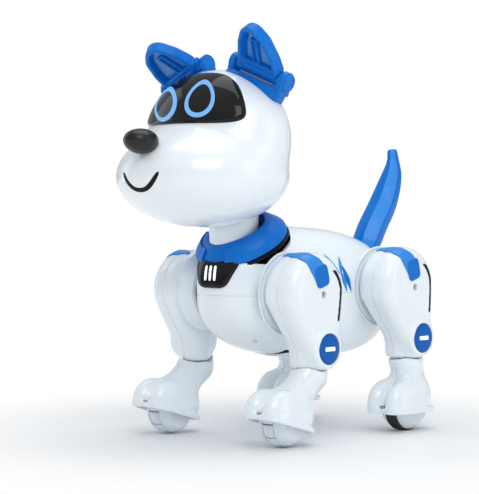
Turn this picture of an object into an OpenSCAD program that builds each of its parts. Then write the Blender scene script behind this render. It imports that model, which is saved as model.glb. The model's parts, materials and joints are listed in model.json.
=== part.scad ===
// Robot dog toy: hollow shells on two leg shafts, wheeled paws, turning head,
// hinged ears and a wagging tail. Nose points to -Y, left side is +X, ground is z = 0.

/* [Head] */
// Half width of the head
head_half_width = 54; // [50:1:57]
// Wall thickness of the head shells
head_wall = 2.2; // [1.6:0.2:3]
// Forward tilt of the left ear at rest, degrees
left_ear_tilt = 36; // [0:1:50]
// Forward tilt of the right ear at rest, degrees
right_ear_tilt = 59; // [30:1:62]

/* [Body] */
// Half width of the trunk
trunk_half_width = 37; // [35:0.5:37]
// Half length of the trunk
trunk_half_length = 82; // [78:1:84]
// Half height of the trunk
trunk_half_height = 44; // [42:1:45]
// Wall thickness of the trunk shells
trunk_wall = 2.4; // [1.8:0.2:3]

/* [Legs] */
// Distance of each leg's mid plane from the centre plane
leg_x = 52; // [52:0.5:54]
// Radius of the thigh at the shoulder
thigh_r = 27; // [25:0.5:28]
// Radius of the thigh at the knee
knee_r = 14; // [13:0.5:14.5]
// Radius of the wheels
wheel_r = 16; // [15:0.5:16]

/* [Hidden] */
$fn = 48;

LEFT = 1;
RIGHT = -1;
OUTER = 1;    // half of a leg part away from the trunk
INNER = -1;   // half of a leg part next to the trunk

origin_shift = 18.488;   // places the origin under the middle of the dog
axle_r = 2;              // wheel, ear and head axles
pin_r = 2.5;             // knee pins
shaft_r = 4;             // leg shafts
close_fit = 0.05;        // radial gaps
loose_fit = 0.06;

// A leg: shoulder, knee and wheel centres on its mid plane, and the tilt of its paw
SHOULDER = 0;
KNEE = 1;
WHEEL = 2;
TILT = 3;
front_leg = [[leg_x, -43, 97], [leg_x, -36.2, 61.9], [leg_x, -64, wheel_r], 16];
rear_leg = [[leg_x, 52, 99], [leg_x, 62, 64], [leg_x, 60, wheel_r], 0];

trunk_blue = [0.04, 0.42, 0.82];
inset_blue = [0.1, 0.45, 0.85];

module place() { translate([0, origin_shift, 0]) children(); }
module flip(side) { if (side < 0) mirror([1, 0, 0]) children(); else children(); }
// round bar along X from x0 to x1; only the y and z of its place count
module bar(x0, x1, r, at = [0, 0, 0]) {
  translate([x0, at.y, at.z]) rotate([0, 90, 0]) cylinder(h = x1 - x0, r = r);
}

function unit(v) = v / norm(v);
// signed power that squares off a circle's sine or cosine
function squared(x, power) = sign(x) * pow(abs(x), 2 / power);

// Closed cup between an outer and an inner grid of points, each a function of ring and step.
// Ring 0 is a single pole point; the two last rings are joined by the rim.
module cup(outer, inner, rings, steps) {
  pole = rings * steps + 1;   // index of the inner pole
  points = concat(
    [outer(0, 0)], [for (i = [1:rings], j = [0:steps - 1]) outer(i, j)],
    [inner(0, 0)], [for (i = [1:rings], j = [0:steps - 1]) inner(i, j)]);
  function out(i, j) = 1 + (i - 1) * steps + (j % steps);
  function in(i, j) = pole + out(i, j);
  polyhedron(points, concat(
    [for (j = [0:steps - 1]) [0, out(1, j), out(1, j + 1)]],
    [for (i = [1:rings - 1], j = [0:steps - 1]) each [
      [out(i, j), out(i + 1, j), out(i + 1, j + 1)],
      [out(i, j), out(i + 1, j + 1), out(i, j + 1)]]],
    [for (j = [0:steps - 1]) each [
      [out(rings, j), in(rings, j), in(rings, j + 1)],
      [out(rings, j), in(rings, j + 1), out(rings, j + 1)]]],
    [for (i = [1:rings - 1], j = [0:steps - 1]) each [
      [in(i, j), in(i + 1, j + 1), in(i + 1, j)],
      [in(i, j), in(i, j + 1), in(i + 1, j + 1)]]],
    [for (j = [0:steps - 1]) [pole, in(1, j + 1), in(1, j)]]));
}
// cup between two offsets of one surface, point(ring, step, offset)
module layer(point, outer, inner, rings, steps) {
  cup(function(i, j) point(i, j, outer), function(i, j) point(i, j, inner), rings, steps);
}

// ---------------- head ----------------
head_centre = [0, -46, 187];       // the head is described from here
cranium_centre = [0, -69.5, 197];
cranium_axes = [head_half_width, 38.5, 46];
muzzle_centre = [0, -84, 173];
muzzle_axes = [head_half_width, 57.5, 32.5];
seam_gap = 0.1;                    // each shell stands this far off its seam, trunk as well
neck_y = -55;
nod_axle = [0, neck_y, 156];       // the head nods on this axle

// distance from head_centre along dir to an ellipsoid
function ray(dir, centre, axes) =
  let(start = head_centre - centre,
    s = [for (k = [0:2]) start[k] / axes[k]],
    d = [for (k = [0:2]) dir[k] / axes[k]])
  (-(s * d) + sqrt(pow(s * d, 2) - (d * d) * (s * s - 1))) / (d * d);
// cranium and wide muzzle, blended
function head_r(dir) =
  pow(pow(ray(dir, cranium_centre, cranium_axes), 10)
    + pow(ray(dir, muzzle_centre, muzzle_axes), 10), 1 / 10);
function head_point(v, offset) = let(dir = unit(v)) head_centre + dir * (head_r(dir) + offset);
// direction to the cranium at height z, turned by angle from straight ahead
function face_dir(angle, z) =
  let(level = sqrt(1 - pow((z - cranium_centre.z) / cranium_axes.z, 2)))
  [cranium_axes.x * sin(angle) * level,
    cranium_centre.y - head_centre.y - cranium_axes.y * cos(angle) * level,
    z - head_centre.z];

// side = -1 front, +1 rear; the seam is the XZ plane through head_centre
module head_half(side) {
  rings = 9;
  steps = 28;
  point = function(i, j, offset) let(polar = 90 * i / rings, turn = side * 360 * j / steps)
    head_point([sin(polar) * cos(turn), side * cos(polar), sin(polar) * sin(turn)], offset)
    + [0, side * seam_gap, 0];
  difference() {
    layer(point, 0, -head_wall, rings, steps);
    translate([0, neck_y, 120]) cylinder(h = 45, r = 20);
  }
}
module head_front_shell() {
  color("white") place() {
    head_half(-1);
    bar(-33.4, 33.4, axle_r, nod_axle);
  }
}
module head_rear_shell() { color("white") place() head_half(1); }

module visor() {
  rings = 5;
  steps = 36;
  power = 5;   // squareness of the outline
  half_angle = 58;
  half_height = 16.8;
  point = function(i, j, offset)
    let(turn = -360 * j / steps,
      r = i / rings * pow(pow(abs(cos(turn)), power) + pow(abs(sin(turn)), power), -1 / power))
    head_point(face_dir(half_angle * r * cos(turn), 222.9 + half_height * r * sin(turn)), offset);
  color([0.03, 0.03, 0.04]) place() layer(point, 2.3, 1.35, rings, steps);
}

// closed ring of rectangular section, raised over the visor
module eye_ring(side) {
  steps = 32;
  // section corners: share of the outline size, offset from the head
  section = [[1, 2.4], [0.76, 2.4], [0.76, 3], [1, 3]];
  points = [for (j = [0:steps - 1], corner = section) let(turn = 360 * j / steps)
    head_point(face_dir(side * 18.6 + 14 * corner[0] * cos(turn),
      221.4 + 12.1 * corner[0] * sin(turn)), corner[1])];
  polyhedron(points, [for (j = [0:steps - 1], k = [0:3]) each
    let(here = j * 4, next = ((j + 1) % steps) * 4, l = (k + 1) % 4)
    [[here + k, next + l, here + l], [here + k, next + k, next + l]]]);
}
module eye_rings() {
  color([0.5, 0.75, 1]) place() for (side = [RIGHT, LEFT]) eye_ring(side);
}

// egg-shaped nose on a short stem that meets the muzzle
module nose() {
  rings = 6;
  steps = 24;
  centre = [0, -139, 194.6];
  axes = [10, 12, 7.8];
  stem = 0.965;   // stem size as a share of the nose
  aim = function(i, j) let(r = sin(90 * i / rings), turn = -360 * j / steps)
    centre - head_centre + [stem * axes.x * r * cos(turn), 0, stem * axes.z * r * sin(turn)];
  outer = function(i, j) let(v = aim(i, j)) head_centre + v * ray(v, centre, axes);
  inner = function(i, j) head_point(aim(i, j), 0.5);
  color([0.05, 0.05, 0.05]) place() cup(outer, inner, rings, steps);
}
module speaker() {
  flange = 4;
  color("dimgray") place() translate([0, -90, 147]) {
    cylinder(h = flange, r = 14);
    translate([0, 0, flange]) cylinder(h = 5, r = 8);
  }
}

// ---------------- ears ----------------
// Hinge frame: x runs outwards along the hinge, z up the ear
hinge_start = [15.5, -66.3, 248];   // inner end of the left hinge
hinge_slope = 22.3;
hinge_yaw = 5.9;
hinge_pin = [-3.2, 41.2];           // ends of the pin
pin_end_gap = 0.4;

module hinge_frame() { translate(hinge_start) rotate([0, hinge_slope, hinge_yaw]) children(); }
// the same frame for a point
function from_hinge(x, y, z) =
  let(along = cos(hinge_slope) * x + sin(hinge_slope) * z)
  hinge_start + [cos(hinge_yaw) * along - sin(hinge_yaw) * y,
    sin(hinge_yaw) * along + cos(hinge_yaw) * y,
    -sin(hinge_slope) * x + cos(hinge_slope) * z];

// ear plate from y0 to y1, its corner radii cut by inset
module ear_outline(inset, foot_z, y0, y1) {
  // x, z, radius
  corners = [[10, foot_z, 6], [8.6, 11, 5], [16.7, 26.5, 8.3], [21.7, 22.7, 8.7],
    [31, foot_z, 6]];
  hull() for (corner = corners)
    translate([corner[0], y1, corner[1]]) rotate([90, 0, 0])
      cylinder(h = y1 - y0, r = max(0.8, corner[2] - inset), $fn = 32);
}
module ear(side, tilt) {
  root = [0.6, 37];   // ends of the root along the hinge
  color([0.04, 0.44, 0.82]) place() flip(side) hinge_frame() rotate([tilt, 0, 0]) {
    difference() {
      union() {
        ear_outline(0, 7, -4.1, 4.1);
        bar(root[0], root[1], 4.2);
        translate([root[0], -2.6, 0]) cube([root[1] - root[0], 5.2, 6]);
      }
      // front pocket with two upright ribs
      difference() {
        ear_outline(4, 9, -5, 1.2);
        for (x = [12, 26]) translate([x, -3, 0]) cube([1.6, 5, 22]);
      }
    }
    bar(hinge_pin[0], hinge_pin[1], axle_r);
  }
}
// plinth fitted to the head, with a knuckle at each end of the hinge
module ear_base(side) {
  rings = 3;
  steps = 24;
  middle = 19;
  // outline point of the given half sizes at height z of the hinge frame
  outline = function(i, j, half_x, half_y, z) let(r = i / rings, turn = -360 * j / steps)
    from_hinge(middle + half_x * r * squared(cos(turn), 4),
      half_y * r * squared(sin(turn), 4), z);
  top = function(i, j) outline(i, j, 23.4, 6.4, -5.2);
  foot = function(i, j) head_point(outline(i, j, 22.6, 7.5, -9) - head_centre, 0.3);
  color([0.04, 0.40, 0.80]) place() flip(side) {
    cup(top, foot, rings, steps);
    hinge_frame() difference() {
      union() {
        bar(-4.6, 0, 5.3);
        bar(37.6, 42.6, 6.8);
      }
      bar(hinge_pin[0] - pin_end_gap, hinge_pin[1] + pin_end_gap, axle_r + loose_fit);
    }
  }
}
module left_ear() { ear(LEFT, left_ear_tilt); }
module right_ear() { ear(RIGHT, right_ear_tilt); }
module left_ear_base() { ear_base(LEFT); }
module right_ear_base() { ear_base(RIGHT); }

// ---------------- trunk ----------------
trunk_centre = [0, 6, 95.7];       // the trunk is described from here
trunk_power = 2.7;                 // squareness of the trunk
trunk_drop = 0.06;                 // fall per length towards the tail
collar_centre = [0, -48.3, 132.6];
collar_tilt = 30;
neck_r = 16.4;
tail_root_r = 5;
tail_root_z = 124;
door_size = [40, 54, 2.4];
door_corner = [-20, -26];
door_gap = 0.2;
screw_xs = [-16, 16];
screw_ys = [-52, 62];
hole_r = 1.6;                      // screw holes

// squarish ellipsoid that drops towards the tail
function trunk_r(dir) =
  pow(pow(abs(dir.x) / trunk_half_width, trunk_power)
    + pow(abs(dir.y) / trunk_half_length, trunk_power)
    + pow(abs(dir.z + trunk_drop * dir.y) / trunk_half_height, trunk_power), -1 / trunk_power);
function trunk_point(v, offset) =
  let(dir = unit(v)) trunk_centre + dir * (trunk_r(dir) + offset);
// height of the trunk's underside
function belly_z(x, y) =
  trunk_centre.z - trunk_drop * (y - trunk_centre.y)
  - trunk_half_height * pow(1 - pow(abs(x) / trunk_half_width, trunk_power)
    - pow(abs(y - trunk_centre.y) / trunk_half_length, trunk_power), 1 / trunk_power);

// side = +1 upper, -1 belly; the seam is the level plane through trunk_centre
module trunk_half(side) {
  rings = 9;
  steps = 36;
  point = function(i, j, offset) let(polar = 90 * i / rings, turn = -side * 360 * j / steps)
    trunk_point([sin(polar) * cos(turn), sin(polar) * sin(turn), side * cos(polar)], offset)
    + [0, 0, side * seam_gap];
  layer(point, 0, -trunk_wall, rings, steps);
}
module shaft_holes(r) { for (leg = [front_leg, rear_leg]) bar(-45, 45, r, leg[SHOULDER]); }
module collar_frame() { translate(collar_centre) rotate([collar_tilt, 0, 0]) children(); }
module collar_well() { collar_frame() translate([0, 0, -13]) cylinder(h = 60, r = 31.4); }

module upper_body_shell() {
  color("white") place() difference() {
    trunk_half(1);
    shaft_holes(4.6);
    collar_well();
    translate([0, 60, tail_root_z]) rotate([-90, 0, 0])
      cylinder(h = 30, r = tail_root_r + loose_fit);
  }
}
module belly_shell() {
  color("white") place() difference() {
    trunk_half(-1);
    shaft_holes(4.6);
    translate([door_corner.x - door_gap, door_corner.y - door_gap, 40])
      cube([door_size.x + 2 * door_gap, door_size.y + 2 * door_gap, 20]);
    translate([-3.6, 34.4, 45]) cube([7.2, 12, 14]);   // switch opening
    for (x = screw_xs, y = screw_ys) translate([x, y, 40]) cylinder(h = 40, r = hole_r);
  }
}
module battery_door() {
  color("whitesmoke") place() difference() {
    translate([door_corner.x, door_corner.y, 52.5]) cube(door_size);
    translate([0, -21, 50]) cylinder(h = 8, r = hole_r);
  }
}
// three cells between two end plates
module battery_pack() {
  pitch = 15.5;
  color("seagreen") place() {
    for (k = [-1:1]) translate([k * pitch, -24, 70.5]) rotate([-90, 0, 0])
      cylinder(h = 50, r = 7.2);
    for (y = [-26.5, 26.1]) translate([-21, y, 63.5]) cube([42, 2.4, 15]);
  }
}
module circuit_board() {
  board_z = 118;
  board = [48, 56, 1.6];
  // x, y, then size in x, y, z
  chips = [[-14, -6, 12, 12, 2], [6, -10, 9, 14, 3], [-10, 16, 16, 8, 5]];
  color("darkgreen") place() {
    translate([-24, -18, board_z]) cube(board);
    for (chip = chips)
      translate([chip[0], chip[1], board_z + board.z]) cube([chip[2], chip[3], chip[4]]);
  }
}
// a block round each shaft, joined by a spine
module leg_gearbox() {
  block = [32, 30, 34];
  front_y = -58;
  rear_y = 37;
  spine_y = front_y + block.y;
  color("dimgray") place() difference() {
    union() {
      for (y = [front_y, rear_y]) translate([-block.x / 2, y, 80]) cube(block);
      translate([-8, spine_y, 84]) cube([16, rear_y - spine_y, 20]);
    }
    shaft_holes(shaft_r + close_fit);
  }
}
module leg_shaft(leg) { color("silver") place() bar(-59.5, 59.5, shaft_r, leg[SHOULDER]); }
module front_leg_shaft() { leg_shaft(front_leg); }
module rear_leg_shaft() { leg_shaft(rear_leg); }

// squarish patch on the chest; flare widens it towards the top
module chest_patch(x, z, half_width, half_height, rings, steps, inner, outer, flare) {
  aim_y = -82;   // the outline is projected from this plane
  point = function(i, j, offset)
    let(turn = -360 * j / steps, u = i / rings * squared(cos(turn), 5),
      v = i / rings * squared(sin(turn), 5))
    trunk_point([x + half_width * u * (1 + flare * v), aim_y,
      z + half_height * v - trunk_centre.z], offset);
  layer(point, outer, inner, rings, steps);
}
module chest_panel() {
  color([0.04, 0.04, 0.05]) place() difference() {
    chest_patch(0, 111.5, 16.5, 9.5, rings = 4, steps = 32, inner = 0.25, outer = 1.7, flare = 0.3);
    collar_well();
  }
}
module chest_light_bars() {
  color([0.92, 0.95, 1]) place() for (x = [-4, 0, 4])
    chest_patch(x, 110.5, 0.9, 4.9, rings = 2, steps = 16, inner = 1.8, outer = 2.3, flare = 0);
}
module collar() {
  // radius, height
  profile = [[19.5, 2], [20.5, -2], [24, -6], [31, -6], [31.2, -3], [30.6, 0], [27, 4.6],
    [23, 7.2], [20, 7.6]];
  color(trunk_blue) place() difference() {
    collar_frame() rotate_extrude($fn = 64) polygon(profile);
    translate([0, neck_y, 110]) cylinder(h = 50, r = neck_r + loose_fit);
  }
}
module neck() {
  // base height, height, radius
  stages = [[118, 30, neck_r], [148, 14, 10], [115.5, 2.5, 8]];
  color("whitesmoke") place() difference() {
    union() for (stage = stages)
      translate([0, neck_y, stage[0]]) cylinder(h = stage[1], r = stage[2]);
    bar(-20, 20, axle_r + loose_fit, nod_axle);
  }
}
module power_switch() {
  color([0.1, 0.1, 0.1]) place() translate([-3, 35, 51.6]) cube([6, 5, 5.6]);
}
// four slanted strokes on each flank
module side_emblems() {
  rings = 2;
  steps = 8;
  // y, z, height, slant, half width
  strokes = [[-6, 121, 12, 0.3, 1.7], [0.5, 113.5, 13, 0.3, 2.1], [7.4, 118, 13, -0.12, 1.7],
    [9.6, 103.5, 13, 0.3, 2.2]];
  color(inset_blue) place() for (side = [RIGHT, LEFT]) flip(side) for (stroke = strokes) {
    point = function(i, j, offset)
      let(turn = -360 * j / steps, u = stroke[4] * i / rings * cos(turn),
        v = stroke[2] / 2 * i / rings * sin(turn))
      trunk_point([trunk_half_width, stroke[0] - trunk_centre.y + u - v * stroke[3],
        stroke[1] - trunk_centre.z + v], offset);
    layer(point, 0.8, 0.2, rings, steps);
  }
}
module body_screws() {
  color("silver") place() for (x = screw_xs, y = screw_ys)
    translate([x, y, belly_z(x, y) + 0.8]) cylinder(h = 12, r = 1.5);
}
module tail() {
  ball_r = 8;
  // y, z, half width, half depth
  stations = [[82, 123, 9.4, 8.4], [88, 136, 9.6, 8.6], [95, 151, 9, 8.4],
    [103, 166, 8, 7.2], [107.5, 180, 6, 6], [110, 190.5, 3.4, 4]];
  color(trunk_blue) place() {
    translate([0, 66, tail_root_z]) rotate([-90, 0, 0]) cylinder(h = 17, r = tail_root_r);
    for (i = [0:len(stations) - 2]) hull() for (station = [stations[i], stations[i + 1]])
      translate([0, station[0], station[1]]) rotate([-22, 0, 0])
        scale([station[2] / ball_r, station[3] / ball_r, 0.5]) sphere(r = ball_r, $fn = 16);
  }
}

// ---------------- legs ----------------
// Modules draw a left leg; on_side() mirrors it for the right
knee_slot = [46.4, 58.6];   // x range of the thigh's slot for the knee tongue
slot_r = 11.4;
tongue = [47, 58];          // x range of the shin's knee tongue
hub_core_r = 12;
tyre_half_width = 4.4;

module on_side(side) { place() flip(side) children(); }
// block that cuts away all but the given half of a leg part
module other_half(half, y, z, length) {
  if (half == OUTER) translate([0, y, z]) cube([leg_x, length, 200]);
  else translate([leg_x - 0.1, y, z]) cube([60, length, 200]);
}

module thigh_solid(leg) {
  // x, radius
  shoulder_discs = [[37.5, 24], [42, thigh_r - 0.6], [50, thigh_r], [58, thigh_r - 2],
    [63, thigh_r - 7]];
  knee_discs = [[42, 12], [45, knee_r], [63, knee_r]];
  hull() {
    for (disc = shoulder_discs) bar(disc[0], disc[0] + 0.4, disc[1], leg[SHOULDER], $fn = 30);
    for (disc = knee_discs) bar(disc[0], disc[0] + 0.4, disc[1], leg[KNEE], $fn = 30);
  }
}
module thigh(leg, half) {
  shoulder = leg[SHOULDER];
  knee = leg[KNEE];
  difference() {
    union() {
      thigh_solid(leg);
      if (half == OUTER) bar(60, 66.6, 12.6, knee);
    }
    // hollow, leaving a boss round the shaft
    difference() {
      hull() {
        bar(41.3, 61.7, thigh_r - 8.3, shoulder, $fn = 28);
        bar(44.6, 61, 12.1, shoulder + 0.42 * (knee - shoulder), $fn = 28);
      }
      bar(30, 70, 7, shoulder);
    }
    // room for the shin's knee tongue
    bar(knee_slot[0], knee_slot[1], slot_r, knee);
    translate([knee_slot[0], knee.y - slot_r, knee.z - 30])
      cube([knee_slot[1] - knee_slot[0], 2 * slot_r, 30]);
    other_half(half, -100, 0, 250);
    if (half == OUTER) {
      bar(50, 60, shaft_r + close_fit, shoulder);
      bar(50, 64.5, pin_r + close_fit, knee);
      bar(64.4, 70, 10.1, knee);   // seat of the knee cap
      bar(leg_x + 8, leg_x + 20, 2.1, shoulder + [0, 3, 0]);
    } else {
      bar(30, 56, shaft_r + close_fit, shoulder);
      bar(44.6, 56, pin_r + close_fit, knee);
    }
  }
}
module thigh_outer(leg, side) { color("white") on_side(side) thigh(leg, OUTER); }
module thigh_inner(leg, side) { color("whitesmoke") on_side(side) thigh(leg, INNER); }

// slotted cap with the knee pin
module knee_cap(leg, side) {
  knee = leg[KNEE];
  color([0, 0.35, 0.7]) on_side(side) {
    difference() {
      bar(64.5, 67.6, 9.9, knee);
      translate([66.6, knee.y - 4, knee.z - 1.3]) cube([3, 8, 2.6]);
    }
    bar(44.9, 65, pin_r, knee);
  }
}
// blue strip on the crown of the thigh
module shoulder_insert(leg, side) {
  shoulder = leg[SHOULDER];
  color(inset_blue) on_side(side) intersection() {
    difference() {
      union() {
        bar(46, 58, thigh_r + 1.6, shoulder);
        bar(58, 66.5, thigh_r - 3, shoulder);
      }
      bar(40, 66, thigh_r + 0.2, shoulder);
      translate([0, -100, 0]) cube([200, 250, shoulder.z + 2]);
    }
    translate([45, shoulder.y - 13, shoulder.z]) cube([20, 30, 60]);
  }
}

module paw_frame(leg) { translate(leg[WHEEL]) rotate([leg[TILT], 0, 0]) children(); }
module paw() {
  hull() {
    translate([0, -4, 9]) resize([33, 42, 20]) sphere(r = 10, $fn = 24);
    for (x = [-9.2, 9.2], y = [-19, 11]) translate([x, y, -3.4])
      cylinder(h = 3.6, r = 8, $fn = 24);
  }
}
module shin_solid(leg) {
  knee = leg[KNEE];
  reach = leg[WHEEL].y - knee.y;
  hull() {
    bar(44.5, 59.5, 10, knee + [0, 0.3 * reach, -17], $fn = 24);
    bar(44, 60, 9, knee + [0, 0.62 * reach, -29], $fn = 24);
  }
  hull() {
    bar(44, 60, 9, knee + [0, 0.6 * reach, -28], $fn = 24);
    paw_frame(leg) translate([0, -1, 11]) resize([30, 34, 14]) sphere(r = 10, $fn = 24);
  }
  paw_frame(leg) paw();
}
module shin(leg, half) {
  knee = leg[KNEE];
  wheel = leg[WHEEL];
  difference() {
    union() {
      // clear of the thigh's knee
      difference() {
        shin_solid(leg);
        bar(30, 72, knee_r + 0.6, knee);
        translate([30, knee.y - 40, knee.z - 9.2]) cube([45, 80, 40]);
      }
      // tongue
      bar(tongue[0], tongue[1], 10.6, knee);
      hull() {
        bar(tongue[0], tongue[1], 7, knee, $fn = 32);
        bar(tongue[0], tongue[1], 6.9, knee + [0, 0.15 * (wheel.y - knee.y), -17], $fn = 32);
      }
    }
    bar(leg_x - 11.6, leg_x + 11.6, wheel_r + 1.2, wheel);
    bar(leg_x - 15.6, leg_x + 15.6, axle_r + loose_fit, wheel);
    bar(40, 70, pin_r + loose_fit, knee);
    other_half(half, -150, -10, 300);
  }
}
module shin_outer(leg, side) { color("white") on_side(side) shin(leg, OUTER); }
module shin_inner(leg, side) { color("whitesmoke") on_side(side) shin(leg, INNER); }

module wheel_frame(leg) { translate(leg[WHEEL]) rotate([0, 90, 0]) children(); }
// ball with flat sides and a groove for the tread, on its axle
module wheel_hub(leg, side) {
  color("whitesmoke") on_side(side) wheel_frame(leg) {
    difference() {
      intersection() {
        sphere(r = wheel_r - 0.4);
        cylinder(h = 22, r = wheel_r, center = true);
      }
      difference() {
        cylinder(h = 9, r = wheel_r + 2, center = true);
        cylinder(h = 12, r = hub_core_r, center = true);
      }
    }
    cylinder(h = 31, r = axle_r, center = true);
  }
}
// tread section with bevelled edges
module tread(edge_r, half_face) {
  bore = hub_core_r + close_fit;
  polygon([[bore, -tyre_half_width], [edge_r, -tyre_half_width], [wheel_r, -half_face],
    [wheel_r, half_face], [edge_r, tyre_half_width], [bore, tyre_half_width]]);
}
module tyre(leg, side) {
  color([0.06, 0.06, 0.06]) on_side(side) wheel_frame(leg) rotate_extrude() tread(15.4, 2.8);
}
module rollers(leg, side) {
  count = 10;
  color("white") on_side(side) wheel_frame(leg) for (k = [0:count - 1])
    rotate([0, 0, 360 / count * k + 3]) rotate_extrude(angle = 32) tread(15.2, 2.4);
}
// motor inside the thigh
module wheel_motor(leg, side) {
  centre = (leg[SHOULDER] + leg[KNEE]) / 2 + [0, -1, 3];
  color("silver") on_side(side) {
    bar(43.2, 57.2, 7, centre);
    bar(57.2, 59.2, 1.5, centre);
  }
}

module front_left_thigh_outer() { thigh_outer(front_leg, LEFT); }
module front_left_thigh_inner() { thigh_inner(front_leg, LEFT); }
module front_left_shoulder_insert() { shoulder_insert(front_leg, LEFT); }
module front_left_knee_cap() { knee_cap(front_leg, LEFT); }
module front_left_shin_outer() { shin_outer(front_leg, LEFT); }
module front_left_shin_inner() { shin_inner(front_leg, LEFT); }
module front_left_wheel_hub() { wheel_hub(front_leg, LEFT); }
module front_left_rollers() { rollers(front_leg, LEFT); }
module front_right_thigh_outer() { thigh_outer(front_leg, RIGHT); }
module front_right_thigh_inner() { thigh_inner(front_leg, RIGHT); }
module front_right_shoulder_insert() { shoulder_insert(front_leg, RIGHT); }
module front_right_knee_cap() { knee_cap(front_leg, RIGHT); }
module front_right_shin_outer() { shin_outer(front_leg, RIGHT); }
module front_right_shin_inner() { shin_inner(front_leg, RIGHT); }
module front_right_wheel_hub() { wheel_hub(front_leg, RIGHT); }
module front_right_rollers() { rollers(front_leg, RIGHT); }
module rear_left_thigh_outer() { thigh_outer(rear_leg, LEFT); }
module rear_left_thigh_inner() { thigh_inner(rear_leg, LEFT); }
module rear_left_shoulder_insert() { shoulder_insert(rear_leg, LEFT); }
module rear_left_knee_cap() { knee_cap(rear_leg, LEFT); }
module rear_left_shin_outer() { shin_outer(rear_leg, LEFT); }
module rear_left_shin_inner() { shin_inner(rear_leg, LEFT); }
module rear_left_wheel_hub() { wheel_hub(rear_leg, LEFT); }
module rear_left_tyre() { tyre(rear_leg, LEFT); }
module rear_left_wheel_motor() { wheel_motor(rear_leg, LEFT); }
module rear_right_thigh_outer() { thigh_outer(rear_leg, RIGHT); }
module rear_right_thigh_inner() { thigh_inner(rear_leg, RIGHT); }
module rear_right_shoulder_insert() { shoulder_insert(rear_leg, RIGHT); }
module rear_right_knee_cap() { knee_cap(rear_leg, RIGHT); }
module rear_right_shin_outer() { shin_outer(rear_leg, RIGHT); }
module rear_right_shin_inner() { shin_inner(rear_leg, RIGHT); }
module rear_right_wheel_hub() { wheel_hub(rear_leg, RIGHT); }
module rear_right_tyre() { tyre(rear_leg, RIGHT); }
module rear_right_wheel_motor() { wheel_motor(rear_leg, RIGHT); }

front_left_thigh_outer();
front_left_thigh_inner();
front_left_shoulder_insert();
front_left_knee_cap();
front_left_shin_outer();
front_left_shin_inner();
front_left_wheel_hub();
front_left_rollers();
front_right_thigh_outer();
front_right_thigh_inner();
front_right_shoulder_insert();
front_right_knee_cap();
front_right_shin_outer();
front_right_shin_inner();
front_right_wheel_hub();
front_right_rollers();
rear_left_thigh_outer();
rear_left_thigh_inner();
rear_left_shoulder_insert();
rear_left_knee_cap();
rear_left_shin_outer();
rear_left_shin_inner();
rear_left_wheel_hub();
rear_left_tyre();
rear_left_wheel_motor();
rear_right_thigh_outer();
rear_right_thigh_inner();
rear_right_shoulder_insert();
rear_right_knee_cap();
rear_right_shin_outer();
rear_right_shin_inner();
rear_right_wheel_hub();
rear_right_tyre();
rear_right_wheel_motor();
front_leg_shaft();
rear_leg_shaft();
upper_body_shell();
belly_shell();
battery_door();
battery_pack();
circuit_board();
leg_gearbox();
chest_panel();
chest_light_bars();
collar();
neck();
power_switch();
side_emblems();
body_screws();
head_front_shell();
head_rear_shell();
visor();
eye_rings();
nose();
left_ear_base();
right_ear_base();
left_ear();
right_ear();
speaker();
tail();
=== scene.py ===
# A small robot dog on four wheeled paws: head with folding ears, trunk with collar, tail.
# It stands on Z = 0 with its nose towards -Y and its left side towards +X.
# Forms are worked out in millimetres and turned into metres when a mesh is made.
import json
import math

import bmesh
import bpy
import numpy as np
from mathutils import Matrix, Vector


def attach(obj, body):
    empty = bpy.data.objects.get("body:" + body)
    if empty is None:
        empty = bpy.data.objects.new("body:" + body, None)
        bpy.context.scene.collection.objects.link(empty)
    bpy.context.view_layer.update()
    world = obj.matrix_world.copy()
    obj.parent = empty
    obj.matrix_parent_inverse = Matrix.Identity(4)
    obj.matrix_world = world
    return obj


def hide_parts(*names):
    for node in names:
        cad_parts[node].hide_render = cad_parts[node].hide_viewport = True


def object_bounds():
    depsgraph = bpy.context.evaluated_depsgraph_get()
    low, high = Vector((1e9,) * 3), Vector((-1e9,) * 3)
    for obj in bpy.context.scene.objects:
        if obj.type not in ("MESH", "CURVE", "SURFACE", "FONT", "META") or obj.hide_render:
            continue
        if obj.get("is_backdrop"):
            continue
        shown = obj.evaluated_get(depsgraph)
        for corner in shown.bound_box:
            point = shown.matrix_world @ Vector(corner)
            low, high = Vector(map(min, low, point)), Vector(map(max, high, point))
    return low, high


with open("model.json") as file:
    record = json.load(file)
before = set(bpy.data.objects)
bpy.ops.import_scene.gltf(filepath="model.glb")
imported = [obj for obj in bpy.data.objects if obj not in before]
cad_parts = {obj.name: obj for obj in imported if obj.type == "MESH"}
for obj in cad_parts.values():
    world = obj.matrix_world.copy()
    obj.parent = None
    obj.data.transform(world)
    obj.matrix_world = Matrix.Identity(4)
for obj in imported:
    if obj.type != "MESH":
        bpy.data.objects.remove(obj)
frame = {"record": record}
CAD_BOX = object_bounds()
RECORD = frame["record"]
JOINTS = {j["name"]: j for j in RECORD["behaviour"]["joints"]}


def joint(name):
    """Place of a joint, mm."""
    return np.array(JOINTS[name]["pos_m"]) * 1000.0


# ------------------------------------------------------------------ driving dimensions, mm
MM = 0.001
SIDES = ((1, "left"), (-1, "right"))
NECK_Y = joint("neck_turn")[1]
DATUM_Y = NECK_Y + 55.0             # the Y that places along the body are measured from

HEAD_CENTRE = np.array([0, DATUM_Y - 46, 187.0])
CROWN_CENTRE = np.array([0, DATUM_Y - 69.5, 197.0])
CROWN_RADII = np.array([54, 38.5, 46.0])
MUZZLE_CENTRE = np.array([0, DATUM_Y - 84, 173.0])
MUZZLE_RADII = np.array([54, 57.5, 32.5])
HEAD_BLEND = 10.0                   # power that blends the crown into the muzzle
HEAD_WALL = 2.2

TRUNK_CENTRE = np.array([0, DATUM_Y + 6, 95.7])
TRUNK_RADII = (37.0, 82.0, 44.0)
TRUNK_POWER = 2.7                   # 2 would be an ellipsoid
TRUNK_SLOPE = 0.06                  # fall of the trunk's middle plane along Y
TRUNK_WALL = 2.4

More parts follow.
